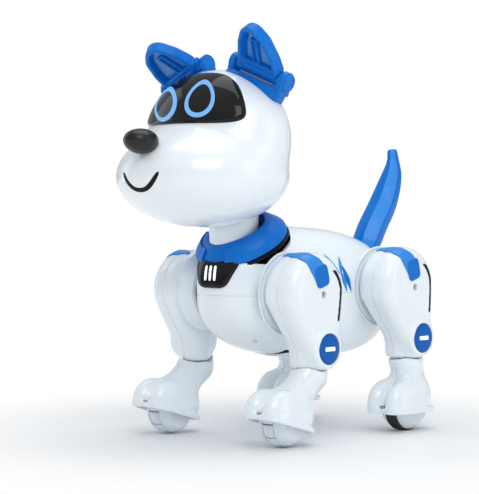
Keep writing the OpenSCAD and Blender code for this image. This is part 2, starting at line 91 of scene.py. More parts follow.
COLLAR_CENTRE = np.array([0, DATUM_Y - 48.3, 132.6])
COLLAR_TILT = math.radians(30)      # forward lean of the collar's axis
COLLAR_AXIS = np.array([0, -math.sin(COLLAR_TILT), math.cos(COLLAR_TILT)])

EAR_HINGE = joint("left_ear_fold")
EAR_ROLL = math.radians(22.3)       # hinge line's slope down and outwards
EAR_YAW = math.radians(5.9)         # and its swing to the rear

LEG_X = 52                          # middle plane of a leg
FINE_CELL = 0.8
EAR_CELL = 0.55


# ------------------------------------------------------------------ shader nodes
def empty_tree(owner):
    owner.use_nodes = True
    owner.node_tree.nodes.clear()
    return owner.node_tree


def fill(tree, node, inputs):
    """Links each socket given as a value and sets every other value as a default."""
    for socket, value in inputs.items():
        if isinstance(value, bpy.types.NodeSocket):
            tree.links.new(value, node.inputs[socket])
        else:
            node.inputs[socket].default_value = value


def add_node(tree, kind, inputs=None, **settings):
    node = tree.nodes.new("ShaderNode" + kind)
    for key, value in settings.items():
        setattr(node, key, value)
    fill(tree, node, inputs or {})
    return node


def set_ramp(node, stops):
    """stops: (position, (r, g, b)), from low to high."""
    elements = node.color_ramp.elements
    for element, (position, colour) in ((elements[0], stops[0]), (elements[1], stops[-1])):
        element.position = position
        element.color = (*colour, 1)
    for position, colour in stops[1:-1]:
        elements.new(position).color = (*colour, 1)


# ------------------------------------------------------------------ materials
def make_material(name, colour, rough, coat=0.0, bump=0.02, grain=900.0, vary=0.03, wear=0.0,
                  metal=0.0, specular=0.5, glow=None, glow_strength=0.0):
    """Moulded surface: mottled by vary, paler on edges by wear, with a fine grain in relief."""
    material = bpy.data.materials.new(name)
    tree = empty_tree(material)
    output = add_node(tree, "OutputMaterial")
    shader = add_node(tree, "BsdfPrincipled")
    place = add_node(tree, "TexCoord").outputs["Object"]

    def noise(scale, detail, roughness=0.5):
        return add_node(tree, "TexNoise", {"Scale": scale, "Detail": detail,
                                           "Roughness": roughness, "Vector": place}).outputs["Fac"]

    # broad mottling
    colour = Vector(colour)
    ramp = add_node(tree, "ValToRGB", {0: noise(scale=28, detail=2)})
    set_ramp(ramp, ((0.3, [max(0, x * (1 - vary)) for x in colour]),
                    (0.7, [min(1, x * (1 + vary) + vary * 0.15) for x in colour])))

    # broken, lighter wear on convex edges
    geometry = add_node(tree, "NewGeometry")
    edge = add_node(tree, "MapRange", {"From Min": 0.51, "From Max": 0.62, "To Max": wear,
                                       "Value": geometry.outputs["Pointiness"]})
    patches = noise(scale=160, detail=4)
    worn = add_node(tree, "Math", {0: edge.outputs[0], 1: patches}, operation="MULTIPLY")
    mixed = add_node(tree, "Mix", {"Factor": worn.outputs[0], "A": ramp.outputs[0],
                                   "B": (*[min(1, x * 0.6 + 0.4) for x in colour], 1)},
                     data_type="RGBA")

    # handling marks vary the roughness
    marks = noise(scale=75, detail=6, roughness=0.65)
    roughness = add_node(tree, "MapRange", {
        "From Min": 0.35, "From Max": 0.75, "Value": marks,
        "To Min": max(0.02, rough * 0.85), "To Max": min(1, rough * 1.25 + 0.01)})
    relief = add_node(tree, "Bump", {"Height": noise(scale=grain, detail=2),
                                     "Strength": bump, "Distance": 0.0004})

    fill(tree, shader, {
        "Base Color": mixed.outputs["Result"],
        "Roughness": roughness.outputs[0],
        "Normal": relief.outputs[0],
        "Metallic": metal,
        "Coat Weight": coat,
        "Coat Roughness": 0.04,
        "Specular IOR Level": specular})
    if glow:
        fill(tree, shader, {"Emission Color": (*glow, 1), "Emission Strength": glow_strength})
    fill(tree, output, {0: shader.outputs[0]})
    return material


WHITE = make_material("white_gloss_shell", (0.87, 0.93, 0.975), rough=0.2, coat=0.3, bump=0.012,
                      vary=0.01)
LIGHT = make_material("pale_shell", (0.80, 0.865, 0.925), rough=0.24, coat=0.25, vary=0.015)
BLUE = make_material("blue_plastic", (0.0, 0.165, 0.62), rough=0.32, coat=0.05, bump=0.03,
                     grain=1400, specular=0.15)
DEEP_BLUE = make_material("deep_blue_plastic", (0.0, 0.105, 0.44), rough=0.32, coat=0.05,
                          bump=0.03, grain=1400, specular=0.15)
LIGHT_BLUE = make_material("light_blue_plastic", (0.035, 0.26, 0.76), rough=0.3, coat=0.08,
                           bump=0.03, grain=1400, specular=0.2)
BLACK = make_material("piano_black", (0.0015, 0.0015, 0.002), rough=0.09, coat=0.12, bump=0.003,
                      vary=0.1, specular=0.2)
NOSE = make_material("black_nose", (0.004, 0.0035, 0.0035), rough=0.3, coat=0.12, bump=0.06,
                     grain=700, vary=0.1, specular=0.3)
DARK = make_material("black_detail", (0.002, 0.002, 0.002), rough=0.4, bump=0.03, vary=0.1,
                     specular=0.12)
BLUE_LIGHT = make_material("blue_diffuser", (0.01, 0.03, 0.08), rough=0.4, specular=0.15,
                           glow=(0.205, 0.479, 0.913), glow_strength=0.95)
WHITE_LIGHT = make_material("white_diffuser", (0.9, 0.94, 1.0), rough=0.4, vary=0.02,
                            glow=(0.9, 0.95, 1.0), glow_strength=0.5)
TYRE = make_material("tyre_rubber", (0.01, 0.01, 0.01), rough=0.62, bump=0.3, grain=600,
                     vary=0.15, wear=0.1)
STEEL = make_material("ground_steel", (0.6, 0.61, 0.63), rough=0.3, metal=1.0, bump=0.08,
                      grain=1500, vary=0.05, wear=0.1)
GASKET = make_material("grey_edge_plastic", (0.60, 0.66, 0.71), rough=0.35, coat=0.1, bump=0.03)
GREY = make_material("grey_plastic", (0.1, 0.105, 0.115), rough=0.45, bump=0.15, vary=0.08,
                     wear=0.1)
CIRCUIT = make_material("solder_mask", (0.01, 0.09, 0.03), rough=0.35, coat=0.3, bump=0.2,
                        grain=500, vary=0.2, wear=0.1)
BATTERY = make_material("battery_sleeve", (0.02, 0.16, 0.09), rough=0.35, bump=0.08, vary=0.08,
                        wear=0.1)
EAR_PANEL = make_material("ear_inner_panel", (0.10, 0.29, 0.62), rough=0.42, coat=0.1, bump=0.05,
                          vary=0.05, wear=0.05)

# material of the CAD pieces in each slot, and the slot each material is told to
SLOT_MATERIAL = {
    "white_shell": WHITE, "light_shell": LIGHT, "blue_plastic": BLUE, "black_gloss": BLACK,
    "black_plastic": NOSE, "light_blue_led": BLUE_LIGHT, "white_led": WHITE_LIGHT,
    "tyre_rubber": TYRE, "steel": STEEL, "circuit": CIRCUIT, "battery_wrap": BATTERY,
    "grey_plastic": GREY}
MATERIAL_SLOT = {material.name: slot for slot, material in SLOT_MATERIAL.items()}
for material, slot in ((DEEP_BLUE, "blue_plastic"), (LIGHT_BLUE, "blue_plastic"),
                       (EAR_PANEL, "blue_plastic"), (DARK, "black_plastic"),
                       (GASKET, "grey_plastic")):
    MATERIAL_SLOT[material.name] = slot


def paint_cad_pieces():
    for part in RECORD["subparts"]:
        piece = bpy.data.objects.get(part["node"])
        if piece is not None and piece.type == "MESH":
            material = SLOT_MATERIAL[part["material_slot"]]
            if not piece.material_slots:
                piece.data.materials.append(material)
            for slot in piece.material_slots:
                slot.material = material


# ------------------------------------------------------------------ mesh objects
def register(piece, body, replaces):
    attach(piece, body)
    if replaces:
        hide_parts(*replaces)


def smooth(mesh, sharp):
    """Smooth shading, broken where faces meet at more than sharp degrees."""
    mesh.polygons.foreach_set("use_smooth", [True] * len(mesh.polygons))
    mesh.set_sharp_from_angle(angle=math.radians(sharp))


def add_mesh(name, shape, material, body, replaces=(), sharp=38.0, mirror=False):
    """Makes an object of shape, a (vertices in mm, faces) pair; mirror flips it in X."""
    vertices = np.asarray(shape[0], float) * MM
    faces = [list(map(int, face)) for face in shape[1]]
    if mirror:
        vertices[:, 0] *= -1
        faces = [face[::-1] for face in faces]
    mesh = bpy.data.meshes.new(name)
    mesh.from_pydata(vertices.tolist(), [], faces)
    mesh.validate()
    bm = bmesh.new()
    bm.from_mesh(mesh)
    bmesh.ops.recalc_face_normals(bm, faces=bm.faces)
    bm.to_mesh(mesh)
    bm.free()
    mesh.update()
    piece = bpy.data.objects.new(name, mesh)
    bpy.context.scene.collection.objects.link(piece)
    mesh.materials.append(material)
    smooth(mesh, sharp)
    register(piece, body, replaces)
    return piece


def add_mirrored(piece, name, material, body, replaces):
    """Mirror image of a piece, for the other side."""
    mesh = piece.data.copy()
    mesh.name = name
    places = np.empty(len(mesh.vertices) * 3)
    mesh.vertices.foreach_get("co", places)
    places[0::3] *= -1
    mesh.vertices.foreach_set("co", places)
    mesh.flip_normals()
    twin = bpy.data.objects.new(name, mesh)
    bpy.context.scene.collection.objects.link(twin)
    register(twin, body, replaces)


def cut(piece, shape):
    """Takes shape, a (vertices in mm, faces) pair, out of a piece."""
    mesh = bpy.data.meshes.new("cutter")
    vertices, faces = shape
    mesh.from_pydata((vertices * MM).tolist(), [], [list(face) for face in faces])
    cutter = bpy.data.objects.new("cutter", mesh)
    bpy.context.scene.collection.objects.link(cutter)
    modifier = piece.modifiers.new("cut", "BOOLEAN")
    modifier.object = cutter
    modifier.operation = "DIFFERENCE"
    modifier.solver = "EXACT"
    bpy.context.view_layer.update()
    graph = bpy.context.evaluated_depsgraph_get()
    result = bpy.data.meshes.new_from_object(piece.evaluated_get(graph))
    old = piece.data
    piece.modifiers.clear()
    piece.data = result
    bpy.data.meshes.remove(old)
    bpy.data.objects.remove(cutter)
    smooth(result, 35)


# ------------------------------------------------------------------ points and faces
def points(x, y, z):
    return np.stack(np.broadcast_arrays(x, y, z), -1)


def unit(vectors):
    return vectors / np.linalg.norm(vectors, axis=-1, keepdims=True)


def around(count, turn=1):
    """Angles of count equal steps round a circle; turn is +1 or -1."""
    return turn * np.arange(count) * 2 * math.pi / count


def disc_grid(rings, spokes, turn=-1):
    """Radius 0..1 as a column and angle as a row."""
    return np.linspace(0, 1, rings)[:, None], around(spokes, turn)[None]


def square_off(wave, power):
    """Bends a sine or cosine so that the circle becomes a superellipse of this power."""
    return np.sign(wave) * np.abs(wave) ** (2 / power)


def super_radius(u, w, power):
    return (np.abs(u) ** power + np.abs(w) ** power) ** (1 / power)


def rim_fall(r):
    """0 over the face of a disc grid, rising to 1 at its rim."""
    return np.clip((r - 0.9) / 0.1, 0, 1) ** 2


def tube_faces(rows, ring, closed=False):
    """Quads between rows of ring points each; closed joins the last row to the first."""
    return [(j * ring + i, j * ring + (i + 1) % ring,
             (j + 1) % rows * ring + (i + 1) % ring, (j + 1) % rows * ring + i)
            for j in range(rows if closed else rows - 1) for i in range(ring)]


def end_caps(rows, ring):
    return [tuple(range(ring))[::-1], tuple((rows - 1) * ring + i for i in range(ring))]


def join(shapes):
    vertices, faces, count = [], [], 0
    for part_vertices, part_faces in shapes:
        vertices.append(part_vertices)
        faces += [tuple(i + count for i in face) for face in part_faces]
        count += len(part_vertices)
    return np.concatenate(vertices), faces


def face_outward(vertices, faces):
    """Turns every face over if the quads enclose a negative volume."""
    quads = np.array([face for face in faces if len(face) == 4])
    centred = vertices - vertices.mean(0)
    a, b, c, d = (centred[quads[:, k]] for k in range(4))
    volume = (np.cross(a, b) * c).sum() + (np.cross(a, c) * d).sum()
    if volume < 0:
        faces = [face[::-1] for face in faces]
    return vertices, faces


def cup(outer, inner):
    """Closed cup between grids of shape (rings, spokes, 3); row 0 is a single pole point."""
    n, m = outer.shape[:2]
    vertices = np.concatenate([outer[0, :1], outer[1:].reshape(-1, 3),
                               inner[0, :1], inner[1:].reshape(-1, 3)])
    q = (n - 1) * m + 1             # first vertex of the inner grid
    faces = []
    for j in range(m):
        k = (j + 1) % m
        faces.append((0, 1 + k, 1 + j))
        faces.append((q, q + 1 + j, q + 1 + k))
        for i in range(n - 2):
            a, b, c, d = 1 + i * m + j, 1 + i * m + k, 1 + (i + 1) * m + k, 1 + (i + 1) * m + j
            faces.append((a, b, c, d))
            faces.append((q + d, q + c, q + b, q + a))
        a, b = 1 + (n - 2) * m + j, 1 + (n - 2) * m + k
        faces.append((a, b, q + b, q + a))
    return vertices, faces


def round_rim(outer, inner, radius):
    """Pulls the last rows of the outer grid towards the inner one, so the rim is rounded."""
    for row, share in ((-1, 1.0), (-2, 0.35), (-3, 0.1)):
        outer[row] += unit(inner[row] - outer[row]) * radius * share
    return outer


def cylinder(start, end, radius, segments=96):
    start, end = np.asarray(start, float), np.asarray(end, float)
    axis = unit(end - start)
    across = unit(np.cross(axis, [1, 0, 0] if abs(axis[0]) < 0.9 else [0, 1, 0]))
    t = around(segments)[:, None]
    ring = across * np.cos(t) * radius + np.cross(axis, across) * np.sin(t) * radius
    return (np.concatenate([start + ring, end + ring]),
            end_caps(2, segments) + tube_faces(2, segments))


def block(low, high):
    vertices = np.array([[x, y, z] for x in (low[0], high[0]) for y in (low[1], high[1])
                         for z in (low[2], high[2])], float)
    return vertices, [(0, 1, 3, 2), (4, 6, 7, 5), (0, 4, 5, 1),
                      (2, 3, 7, 6), (0, 2, 6, 4), (1, 5, 7, 3)]


def add_lathe_x(name, yz, profile, material, body, replaces=(), x0=0, side=1, segments=120):
    """Closed profile of (x, radius) turned about the X axis through yz."""
    t = around(segments)
    grid = np.stack([points(x0 + x, yz[0] + r * np.cos(t), yz[1] + r * np.sin(t))
                     for x, r in profile], 1)
    shape = face_outward(grid.reshape(-1, 3), tube_faces(segments, len(profile), closed=True))
    return add_mesh(name, shape, material, body, replaces, sharp=40, mirror=side < 0)


# ------------------------------------------------------------------ distance fields, mm
def surface_net(field, low, high, cell):
    """Mesh of field(P) = 0 in a box: surface nets, then Newton steps on to the surface."""
    low, high = np.asarray(low, float), np.asarray(high, float)
    size = np.ceil((high - low) / cell).astype(int) + 1
    axes = [low[k] + cell * np.arange(size[k]) for k in range(3)]
    Y, Z = np.meshgrid(axes[1], axes[2], indexing="ij")
    values = np.empty(size)
    for i, x in enumerate(axes[0]):
        values[i] = field(points(x, Y, Z))
    cells = size - 1
    total = int(np.prod(cells))
    hits = np.zeros(total)
    sums = np.zeros((total, 3))
    quads = []
    for a, u, v in ((0, 1, 2), (1, 2, 0), (2, 0, 1)):
        near, far = [slice(None)] * 3, [slice(None)] * 3
        near[a], far[a] = slice(0, -1), slice(1, None)
        A, B = values[tuple(near)], values[tuple(far)]
        crossed = (A < 0) != (B < 0)
        edges = np.argwhere(crossed)
        place = edges.astype(float)
        place[:, a] += A[crossed] / (A[crossed] - B[crossed])
        corners = []
        whole = np.ones(len(edges), bool)
        # the four cells round each crossed edge share its crossing point
        for du, dv in ((0, 0), (-1, 0), (-1, -1), (0, -1)):
            C = edges.copy()
            C[:, u] += du
            C[:, v] += dv
            ok = (C[:, u] >= 0) & (C[:, u] < cells[u]) & (C[:, v] >= 0) & (C[:, v] < cells[v])
            flat = (C[:, 0] * cells[1] + C[:, 1]) * cells[2] + C[:, 2]
            hits += np.bincount(flat[ok], minlength=total)
            for k in range(3):
                sums[:, k] += np.bincount(flat[ok], weights=place[ok, k], minlength=total)
            corners.append(flat)
            whole &= ok
        quad = np.stack(corners, 1)[whole]
        inside_first = (A[crossed] < 0)[whole]
        quad[~inside_first] = quad[~inside_first][:, ::-1]
        quads.append(quad)
    used = np.flatnonzero(hits > 0)
    P = low + cell * sums[used] / hits[used, None]
    index = -np.ones(total, int)
    index[used] = np.arange(len(used))
    probe = np.eye(3) * (0.08 * cell)
    for _ in range(4):
        d = field(P)
        slope = np.stack([(field(P + probe[k]) - field(P - probe[k])) / (2 * (0.08 * cell))
                          for k in range(3)], -1)
        steep = np.maximum((slope * slope).sum(-1, keepdims=True), 0.05)
        step = d[:, None] * slope / steep
        length = np.linalg.norm(step, axis=-1, keepdims=True)
        P = P - step * np.minimum(1, 0.45 * cell / np.maximum(length, 1e-9))
    return P, index[np.concatenate(quads)]


def soft_min(a, b, k):
    """Union, with a fillet about k wide."""
    h = np.maximum(k - np.abs(a - b), 0) / k
    return np.minimum(a, b) - h * h * k * 0.25


def soft_max(a, b, k):
    """Overlap, with an edge rounded about k wide."""
    return -soft_min(-a, -b, k)


def soft_cut(a, b, k):
    """a with b taken out of it."""
    return soft_max(a, -b, k)


def rounded_meet(a, b, radius):
    """Overlap of two square-on fields, with an edge of this radius."""
    a, b = a + radius, b + radius
    return np.minimum(np.maximum(a, b), 0) + np.hypot(np.maximum(a, 0), np.maximum(b, 0)) - radius


def ellipsoid(P, centre, radii):
    p = P - np.asarray(centre, float)
    radii = np.asarray(radii, float)
    k0 = np.linalg.norm(p / radii, axis=-1)
    k1 = np.maximum(np.linalg.norm(p / (radii * radii), axis=-1), 1e-6)
    return k0 * (k0 - 1) / k1


def taper(P, start, end, start_radius, end_radius):
    """Round-ended rod whose radius changes evenly along it."""
    start, end = np.asarray(start, float), np.asarray(end, float)
    run = end - start
    t = np.clip(((P - start) @ run) / (run @ run), 0, 1)
    return (np.linalg.norm(P - (start + t[..., None] * run), axis=-1)
            - (start_radius + (end_radius - start_radius) * t))


def drum(P, centre, radius, half, edge, axis=0):
    """Cylinder of half length half, with rounded edges."""
    p = P - np.asarray(centre, float)
    u, w = [k for k in range(3) if k != axis]
    return rounded_meet(np.hypot(p[..., u], p[..., w]) - radius, np.abs(p[..., axis]) - half, edge)


def brick(P, centre, half, edge):
    q = np.abs(P - np.asarray(centre, float)) - np.asarray(half, float) + edge
    return np.linalg.norm(np.maximum(q, 0), axis=-1) + np.minimum(q.max(-1), 0) - edge


def turned(P, yz, degrees):
    """P in a frame turned about the X axis through yz."""
    a = math.radians(degrees)
    y, z = P[..., 1] - yz[0], P[..., 2] - yz[1]
    return points(P[..., 0], yz[0] + y * math.cos(a) + z * math.sin(a),
                  yz[1] - y * math.sin(a) + z * math.cos(a))


# ------------------------------------------------------------------ head
def reach(d, centre, radii):
    """Distance from the head's centre along d to an ellipsoid."""
    p = HEAD_CENTRE - centre
    A = ((d / radii) ** 2).sum(-1)
    B = (p * d / (radii * radii)).sum(-1)
    C = ((p / radii) ** 2).sum(-1) - 1
    return (-B + np.sqrt(B * B - A * C)) / A


def on_head(directions, offset):
    """Points on the head's surface along directions from its centre, raised by offset."""
    d = unit(directions)
    crown = reach(d, CROWN_CENTRE, CROWN_RADII)
    muzzle = reach(d, MUZZLE_CENTRE, MUZZLE_RADII)
    radius = (crown ** HEAD_BLEND + muzzle ** HEAD_BLEND) ** (1 / HEAD_BLEND)
    return HEAD_CENTRE + d * (radius + offset)[..., None]


def build_head_shells():
    """Front and rear halves, parted by a narrow seam and open below for the neck."""
    for end, name in ((-1, "head_front_shell"), (1, "head_rear_shell")):
        r, f = disc_grid(64, 160, turn=end)
        t = r * (math.pi / 2)
        d = points(np.sin(t) * np.cos(f), end * np.cos(t), np.sin(t) * np.sin(f))
        half_seam = np.array([0, end * 0.12, 0])
        outer = on_head(d, 0.0) + half_seam
        inner = on_head(d, -HEAD_WALL) + half_seam
        shell = add_mesh(name + "_form", cup(round_rim(outer, inner, 0.45), inner), WHITE, "head",
                         (name,))
        cut(shell, cylinder([0, NECK_Y, 120], [0, NECK_Y, 168], radius=19.4))


def face_direction(t, z):
    """Direction to the crown's front at angle t from straight ahead and height z."""
    level = (z - CROWN_CENTRE[2]) / CROWN_RADII[2]
    s = np.sqrt(np.maximum(0.02, 1 - level ** 2))
    return points(CROWN_RADII[0] * np.sin(t) * s,
                  CROWN_CENTRE[1] - HEAD_CENTRE[1] - CROWN_RADII[1] * np.cos(t) * s,
                  z - HEAD_CENTRE[2])


def build_visor():
    half_angle, middle_z, half_height = np.radians(58.5), 222.9, 16.9
    r, f = disc_grid(34, 200)
    c, s = np.cos(f), np.sin(f)
    q = 1 / super_radius(c, s, np.where(s > 0, 4.3, 6.0))     # rounder above, squarer below
    d = face_direction(half_angle * r * q * c, middle_z + half_height * r * q * s)
    add_mesh("visor_lens", cup(on_head(d, 1.9 - 1.5 * rim_fall(r)), on_head(d, 0.1)), BLACK,
             "head", ("visor",), sharp=60)


# section of an eye ring: (share of the outer size, height above the head)
EYE_SECTION = ((1.0, 1.7), (1.0, 2.15), (0.965, 2.3), (0.88, 2.36), (0.795, 2.3), (0.76, 2.15),
               (0.76, 1.7))


def eye_ring(side, segments=96):
    """The left ring is an ellipse, the right one is skewed; angles in degrees."""
    f = around(segments)
    rows = []
    for q, height in EYE_SECTION:
        if side > 0:
            t = np.radians(18.6 + 13.6 * q * np.cos(f))
            z = 221.4 + 12.1 * q * np.sin(f)
        else:
            t = np.radians(-22.0 + q * (17.8 * np.cos(f) - 11.5 * np.sin(f)
                                        + 1.0 * np.cos(2 * f) + 2.8 * np.sin(2 * f)))
            z = 219.0 + 11.7 * q * np.sin(f)
        rows.append(on_head(face_direction(t, z), height))
    return (np.stack(rows, 1).reshape(-1, 3),
            tube_faces(segments, len(EYE_SECTION), closed=True))


def build_eyes():
    add_mesh("eye_ring_lights", join([eye_ring(-1), eye_ring(1)]), BLUE_LIGHT, "head",
             ("eye_rings",), sharp=80)


def build_nose():
    """Egg-shaped ball, its front lifted a little, on a short stem that meets the muzzle."""
    centre, radii = np.array([0, DATUM_Y - 139.0, 194.6]), np.array([10.3, 12.0, 8.0])
    front_lift = 0.9
    spokes = 80
    t = np.linspace(0, math.pi, 40)[1:-1, None]
    f = around(spokes)[None]
    ball = points(np.sin(t) * np.cos(f), -np.cos(t), np.sin(t) * np.sin(f)) * radii + centre
    ball[..., 2] += front_lift * np.clip(-(ball[..., 1] - centre[1]) / radii[1], 0, 1) ** 2
    poles = [centre - [0, radii[1], -front_lift], centre + [0, radii[1], 0]]
    rows = len(ball)
    front_pole = rows * spokes
    last_row = (rows - 1) * spokes
    faces = tube_faces(rows, spokes)
    faces += [(j, front_pole, (j + 1) % spokes) for j in range(spokes)]
    faces += [(last_row + j, last_row + (j + 1) % spokes, front_pole + 1) for j in range(spokes)]

    stem_radius, stem_spokes = 4.6, 32
    inward = unit(HEAD_CENTRE - centre)
    across = np.array([1.0, 0, 0])
    upright = unit(np.cross(inward, across))
    a = around(stem_spokes)[:, None]
    ring = stem_radius * (across * np.cos(a) + upright * np.sin(a))
    foot = on_head(centre - HEAD_CENTRE, 0.1)
    stem = (np.concatenate([centre + inward * 3 + ring, foot + ring]),
            tube_faces(2, stem_spokes) + end_caps(2, stem_spokes))
    add_mesh("nose_form", join([(np.concatenate([ball.reshape(-1, 3), poles]), faces), stem]),
             NOSE, "head", ("nose",), sharp=75)


def build_smile():
    """A moulded black line that follows the muzzle, its ends turned up."""
    stations, ring = 73, 12
    half_span, middle_z, end_rise, relief = 15.6, 163.4, 12.0, 0.55
    u = np.linspace(-1, 1, stations)
    x = half_span * u
    z = middle_z + end_rise * np.abs(u) ** 2.3
    half_width = 1.45 * np.sqrt(np.maximum(0, 1 - np.abs(u) ** 10)) + 0.25
    line = on_head(points(x, -97 + 0.02 * x ** 2, z - HEAD_CENTRE[2]), 0.0)
    outward = unit(line - HEAD_CENTRE)
    side = unit(np.cross(outward, unit(np.gradient(line, axis=0))))
    grid = np.stack([line + side * (half_width * math.cos(a))[:, None]
                     + outward * (relief * math.sin(a)) for a in around(ring)], 1)
    add_mesh("smile_line", (grid.reshape(-1, 3), tube_faces(stations, ring)
                            + end_caps(stations, ring)), DARK, "head", sharp=80)


# ------------------------------------------------------------------ trunk
def on_trunk(directions, offset):
    """Points on the trunk's surface along directions from its centre, raised by offset."""
    d = unit(directions)
    level = d[..., 2] + TRUNK_SLOPE * d[..., 1]
    radius = sum((np.abs(q) / size) ** TRUNK_POWER for q, size in
                 zip((d[..., 0], d[..., 1], level), TRUNK_RADII)) ** (-1 / TRUNK_POWER)
    return TRUNK_CENTRE + d * (radius + offset)[..., None]


def trunk_shell(end):
    """Upper (+1) or lower (-1) half of the trunk."""
    r, f = disc_grid(64, 200, turn=-end)
    t = r * (math.pi / 2)
    d = points(np.sin(t) * np.cos(f), np.sin(t) * np.sin(f), end * np.cos(t))
    half_seam = np.array([0, 0, end * 0.06])
    outer = on_trunk(d, 0.0) + half_seam
    inner = on_trunk(d, -TRUNK_WALL) + half_seam
    return cup(round_rim(outer, inner, 0.25), inner)


def collar_opening():
    return cylinder(COLLAR_CENTRE - COLLAR_AXIS * 12, COLLAR_CENTRE + COLLAR_AXIS * 40,
                    radius=31.4, segments=128)


def build_trunk_shells():
    upper = add_mesh("upper_body_form", trunk_shell(1), WHITE, "trunk", ("upper_body_shell",))
    cut(upper, collar_opening())
    belly = add_mesh("belly_form", trunk_shell(-1), WHITE, "trunk", ("belly_shell",))
    # door opening, a small rectangular hole behind it and four round holes
    cut(belly, block([-20.2, -26.2 + DATUM_Y, 40], [20.2, 28.2 + DATUM_Y, 60]))
    cut(belly, block([-3.6, 34.4 + DATUM_Y, 45], [3.6, 46.4 + DATUM_Y, 59]))
    for x in (-16, 16):
        for y in (-52, 62):
            cut(belly, cylinder([x, y + DATUM_Y, 45], [x, y + DATUM_Y, 80], radius=1.8,
                                segments=32))


# (x, radius) round each shoulder and hip
JOINT_COLLAR = ((30, 21), (35.4, 26.4), (36.5, 27.6), (37.0, 27.4), (37.0, 20.0), (30, 18))
JOINT_GASKET = ((36.0, 26.0), (36.6, 26.9), (36.9, 26.9), (37.1, 26.2), (36.9, 24.5),
                (36.0, 24.5))


def build_joint_rings(legs):
    """A white collar and a grey gasket line round each leg joint."""
    for side, side_name in SIDES:
        for leg in legs:
            for part, profile, material in (("collar", JOINT_COLLAR, WHITE),
                                            ("gasket", JOINT_GASKET, GASKET)):
                add_lathe_x(f"{leg.end}_{side_name}_joint_{part}", leg.hip, profile, material,
                            "trunk", side=side)


def belly_patch(y, half_x, half_y, top, base, power, rings, spokes):
    """Rounded rectangle on the underside, from base to top above the surface."""
    r, f = disc_grid(rings, spokes, turn=1)
    d = points(half_x * r * square_off(np.cos(f), power),
               y + DATUM_Y - TRUNK_CENTRE[1] + half_y * r * square_off(np.sin(f), power),
               -TRUNK_RADII[2])
    return cup(on_trunk(d, top - 0.5 * r ** 14), on_trunk(d, base))


def build_battery_door():
    door = belly_patch(y=1, half_x=20, half_y=26, top=0.9, base=0.05, power=8, rings=14,
                       spokes=96)
    add_mesh("battery_door_form", door, LIGHT, "trunk", ("battery_door",), sharp=40)
    # (y, half x, half y): a front pad and five ribs at a pitch of 3
    grips = [(-19, 5, 2.2)] + [(y, 9, 0.6) for y in range(8, 21, 3)]
    add_mesh("battery_door_grips",
             join([belly_patch(*grip, top=1.4, base=0.7, power=6, rings=5, spokes=40)
                   for grip in grips]), LIGHT, "trunk", sharp=40)


def build_chest():
    """Black plate, wider at the top, with three light bars."""
    half_x, half_z, middle_z = 17.0, 10.6, 111.0
    r, f = disc_grid(20, 128)
    v = square_off(np.sin(f), 5) * r
    d = points(half_x * r * square_off(np.cos(f), 5) * (1 + 0.3 * v), -TRUNK_RADII[1],
               middle_z + half_z * v - TRUNK_CENTRE[2])
    plate = add_mesh("chest_plate", cup(on_trunk(d, 1.9 - 1.4 * rim_fall(r)), on_trunk(d, 0.1)),
                     BLACK, "trunk", ("chest_panel",), sharp=60)
    cut(plate, collar_opening())

    bar_pitch, bar_half_x, bar_half_z, bar_z = 4.0, 1.05, 5.0, 110.2
    r, f = disc_grid(7, 48)
    bars = []
    for k in (-1, 0, 1):
        d = points(k * bar_pitch + bar_half_x * r * square_off(np.cos(f), 3), -TRUNK_RADII[1],
                   bar_z + bar_half_z * square_off(np.sin(f), 6) * r - TRUNK_CENTRE[2])
        bars.append(cup(on_trunk(d, 2.35 - 0.3 * r ** 4), on_trunk(d, 1.7)))
    add_mesh("chest_light_strips", join(bars), WHITE_LIGHT, "trunk", ("chest_light_bars",),
             sharp=60)


# (radius, height along the collar's axis)
COLLAR_BAND = ((19.5, 2), (20.2, -2), (24, -5), (29.5, -5.4), (31.0, -4.6), (31.3, -3.6),
               (30.9, -0.5), (29.6, 1.6), (24.5, 6.9), (22.6, 8.1), (20.8, 8.4), (19.8, 7.8))
COLLAR_RIM = ((25, -5.3), (31.2, -5.2), (31.9, -5.6), (31.9, -6.9), (31.2, -7.4), (25, -7.4))
COLLAR_PLATE = ((25.6, 5.6), (29.9, 1.2), (31.2, -0.8), (31.5, -3.4), (32.3, -3.6),
                (32.3, -0.2), (30.8, 2.4), (26.2, 6.9))


def add_collar_part(name, profile, material, replaces=(), segments=160, arc=None):
    """Closed profile turned about the collar's axis; arc is (start, end) in degrees."""
    t = np.linspace(*np.radians(arc), segments) if arc else around(segments)
    grid = np.stack([points(r * np.cos(t), r * np.sin(t), z) for r, z in profile], 1)
    faces = tube_faces(segments, len(profile), closed=not arc)
    if arc:
        faces += end_caps(segments, len(profile))
    c, s = math.cos(COLLAR_TILT), math.sin(COLLAR_TILT)
    frame_rows = np.array([[1, 0, 0], [0, c, s], [0, -s, c]])
    vertices = grid.reshape(-1, 3) @ frame_rows + COLLAR_CENTRE
    add_mesh(name, face_outward(vertices, faces), material, "trunk", replaces, sharp=32)


def build_collar():
    """Wide blue band on a black under-rim, with a raised plate over each shoulder."""
    add_collar_part("collar_band", COLLAR_BAND, BLUE, ("collar",))
    add_collar_part("collar_under_rim", COLLAR_RIM, DARK)
    for middle, side_name in ((-38, "left"), (180 + 38, "right")):
        add_collar_part(f"collar_plate_{side_name}", COLLAR_PLATE, BLUE, segments=40,
                        arc=(middle - 33, middle + 33))


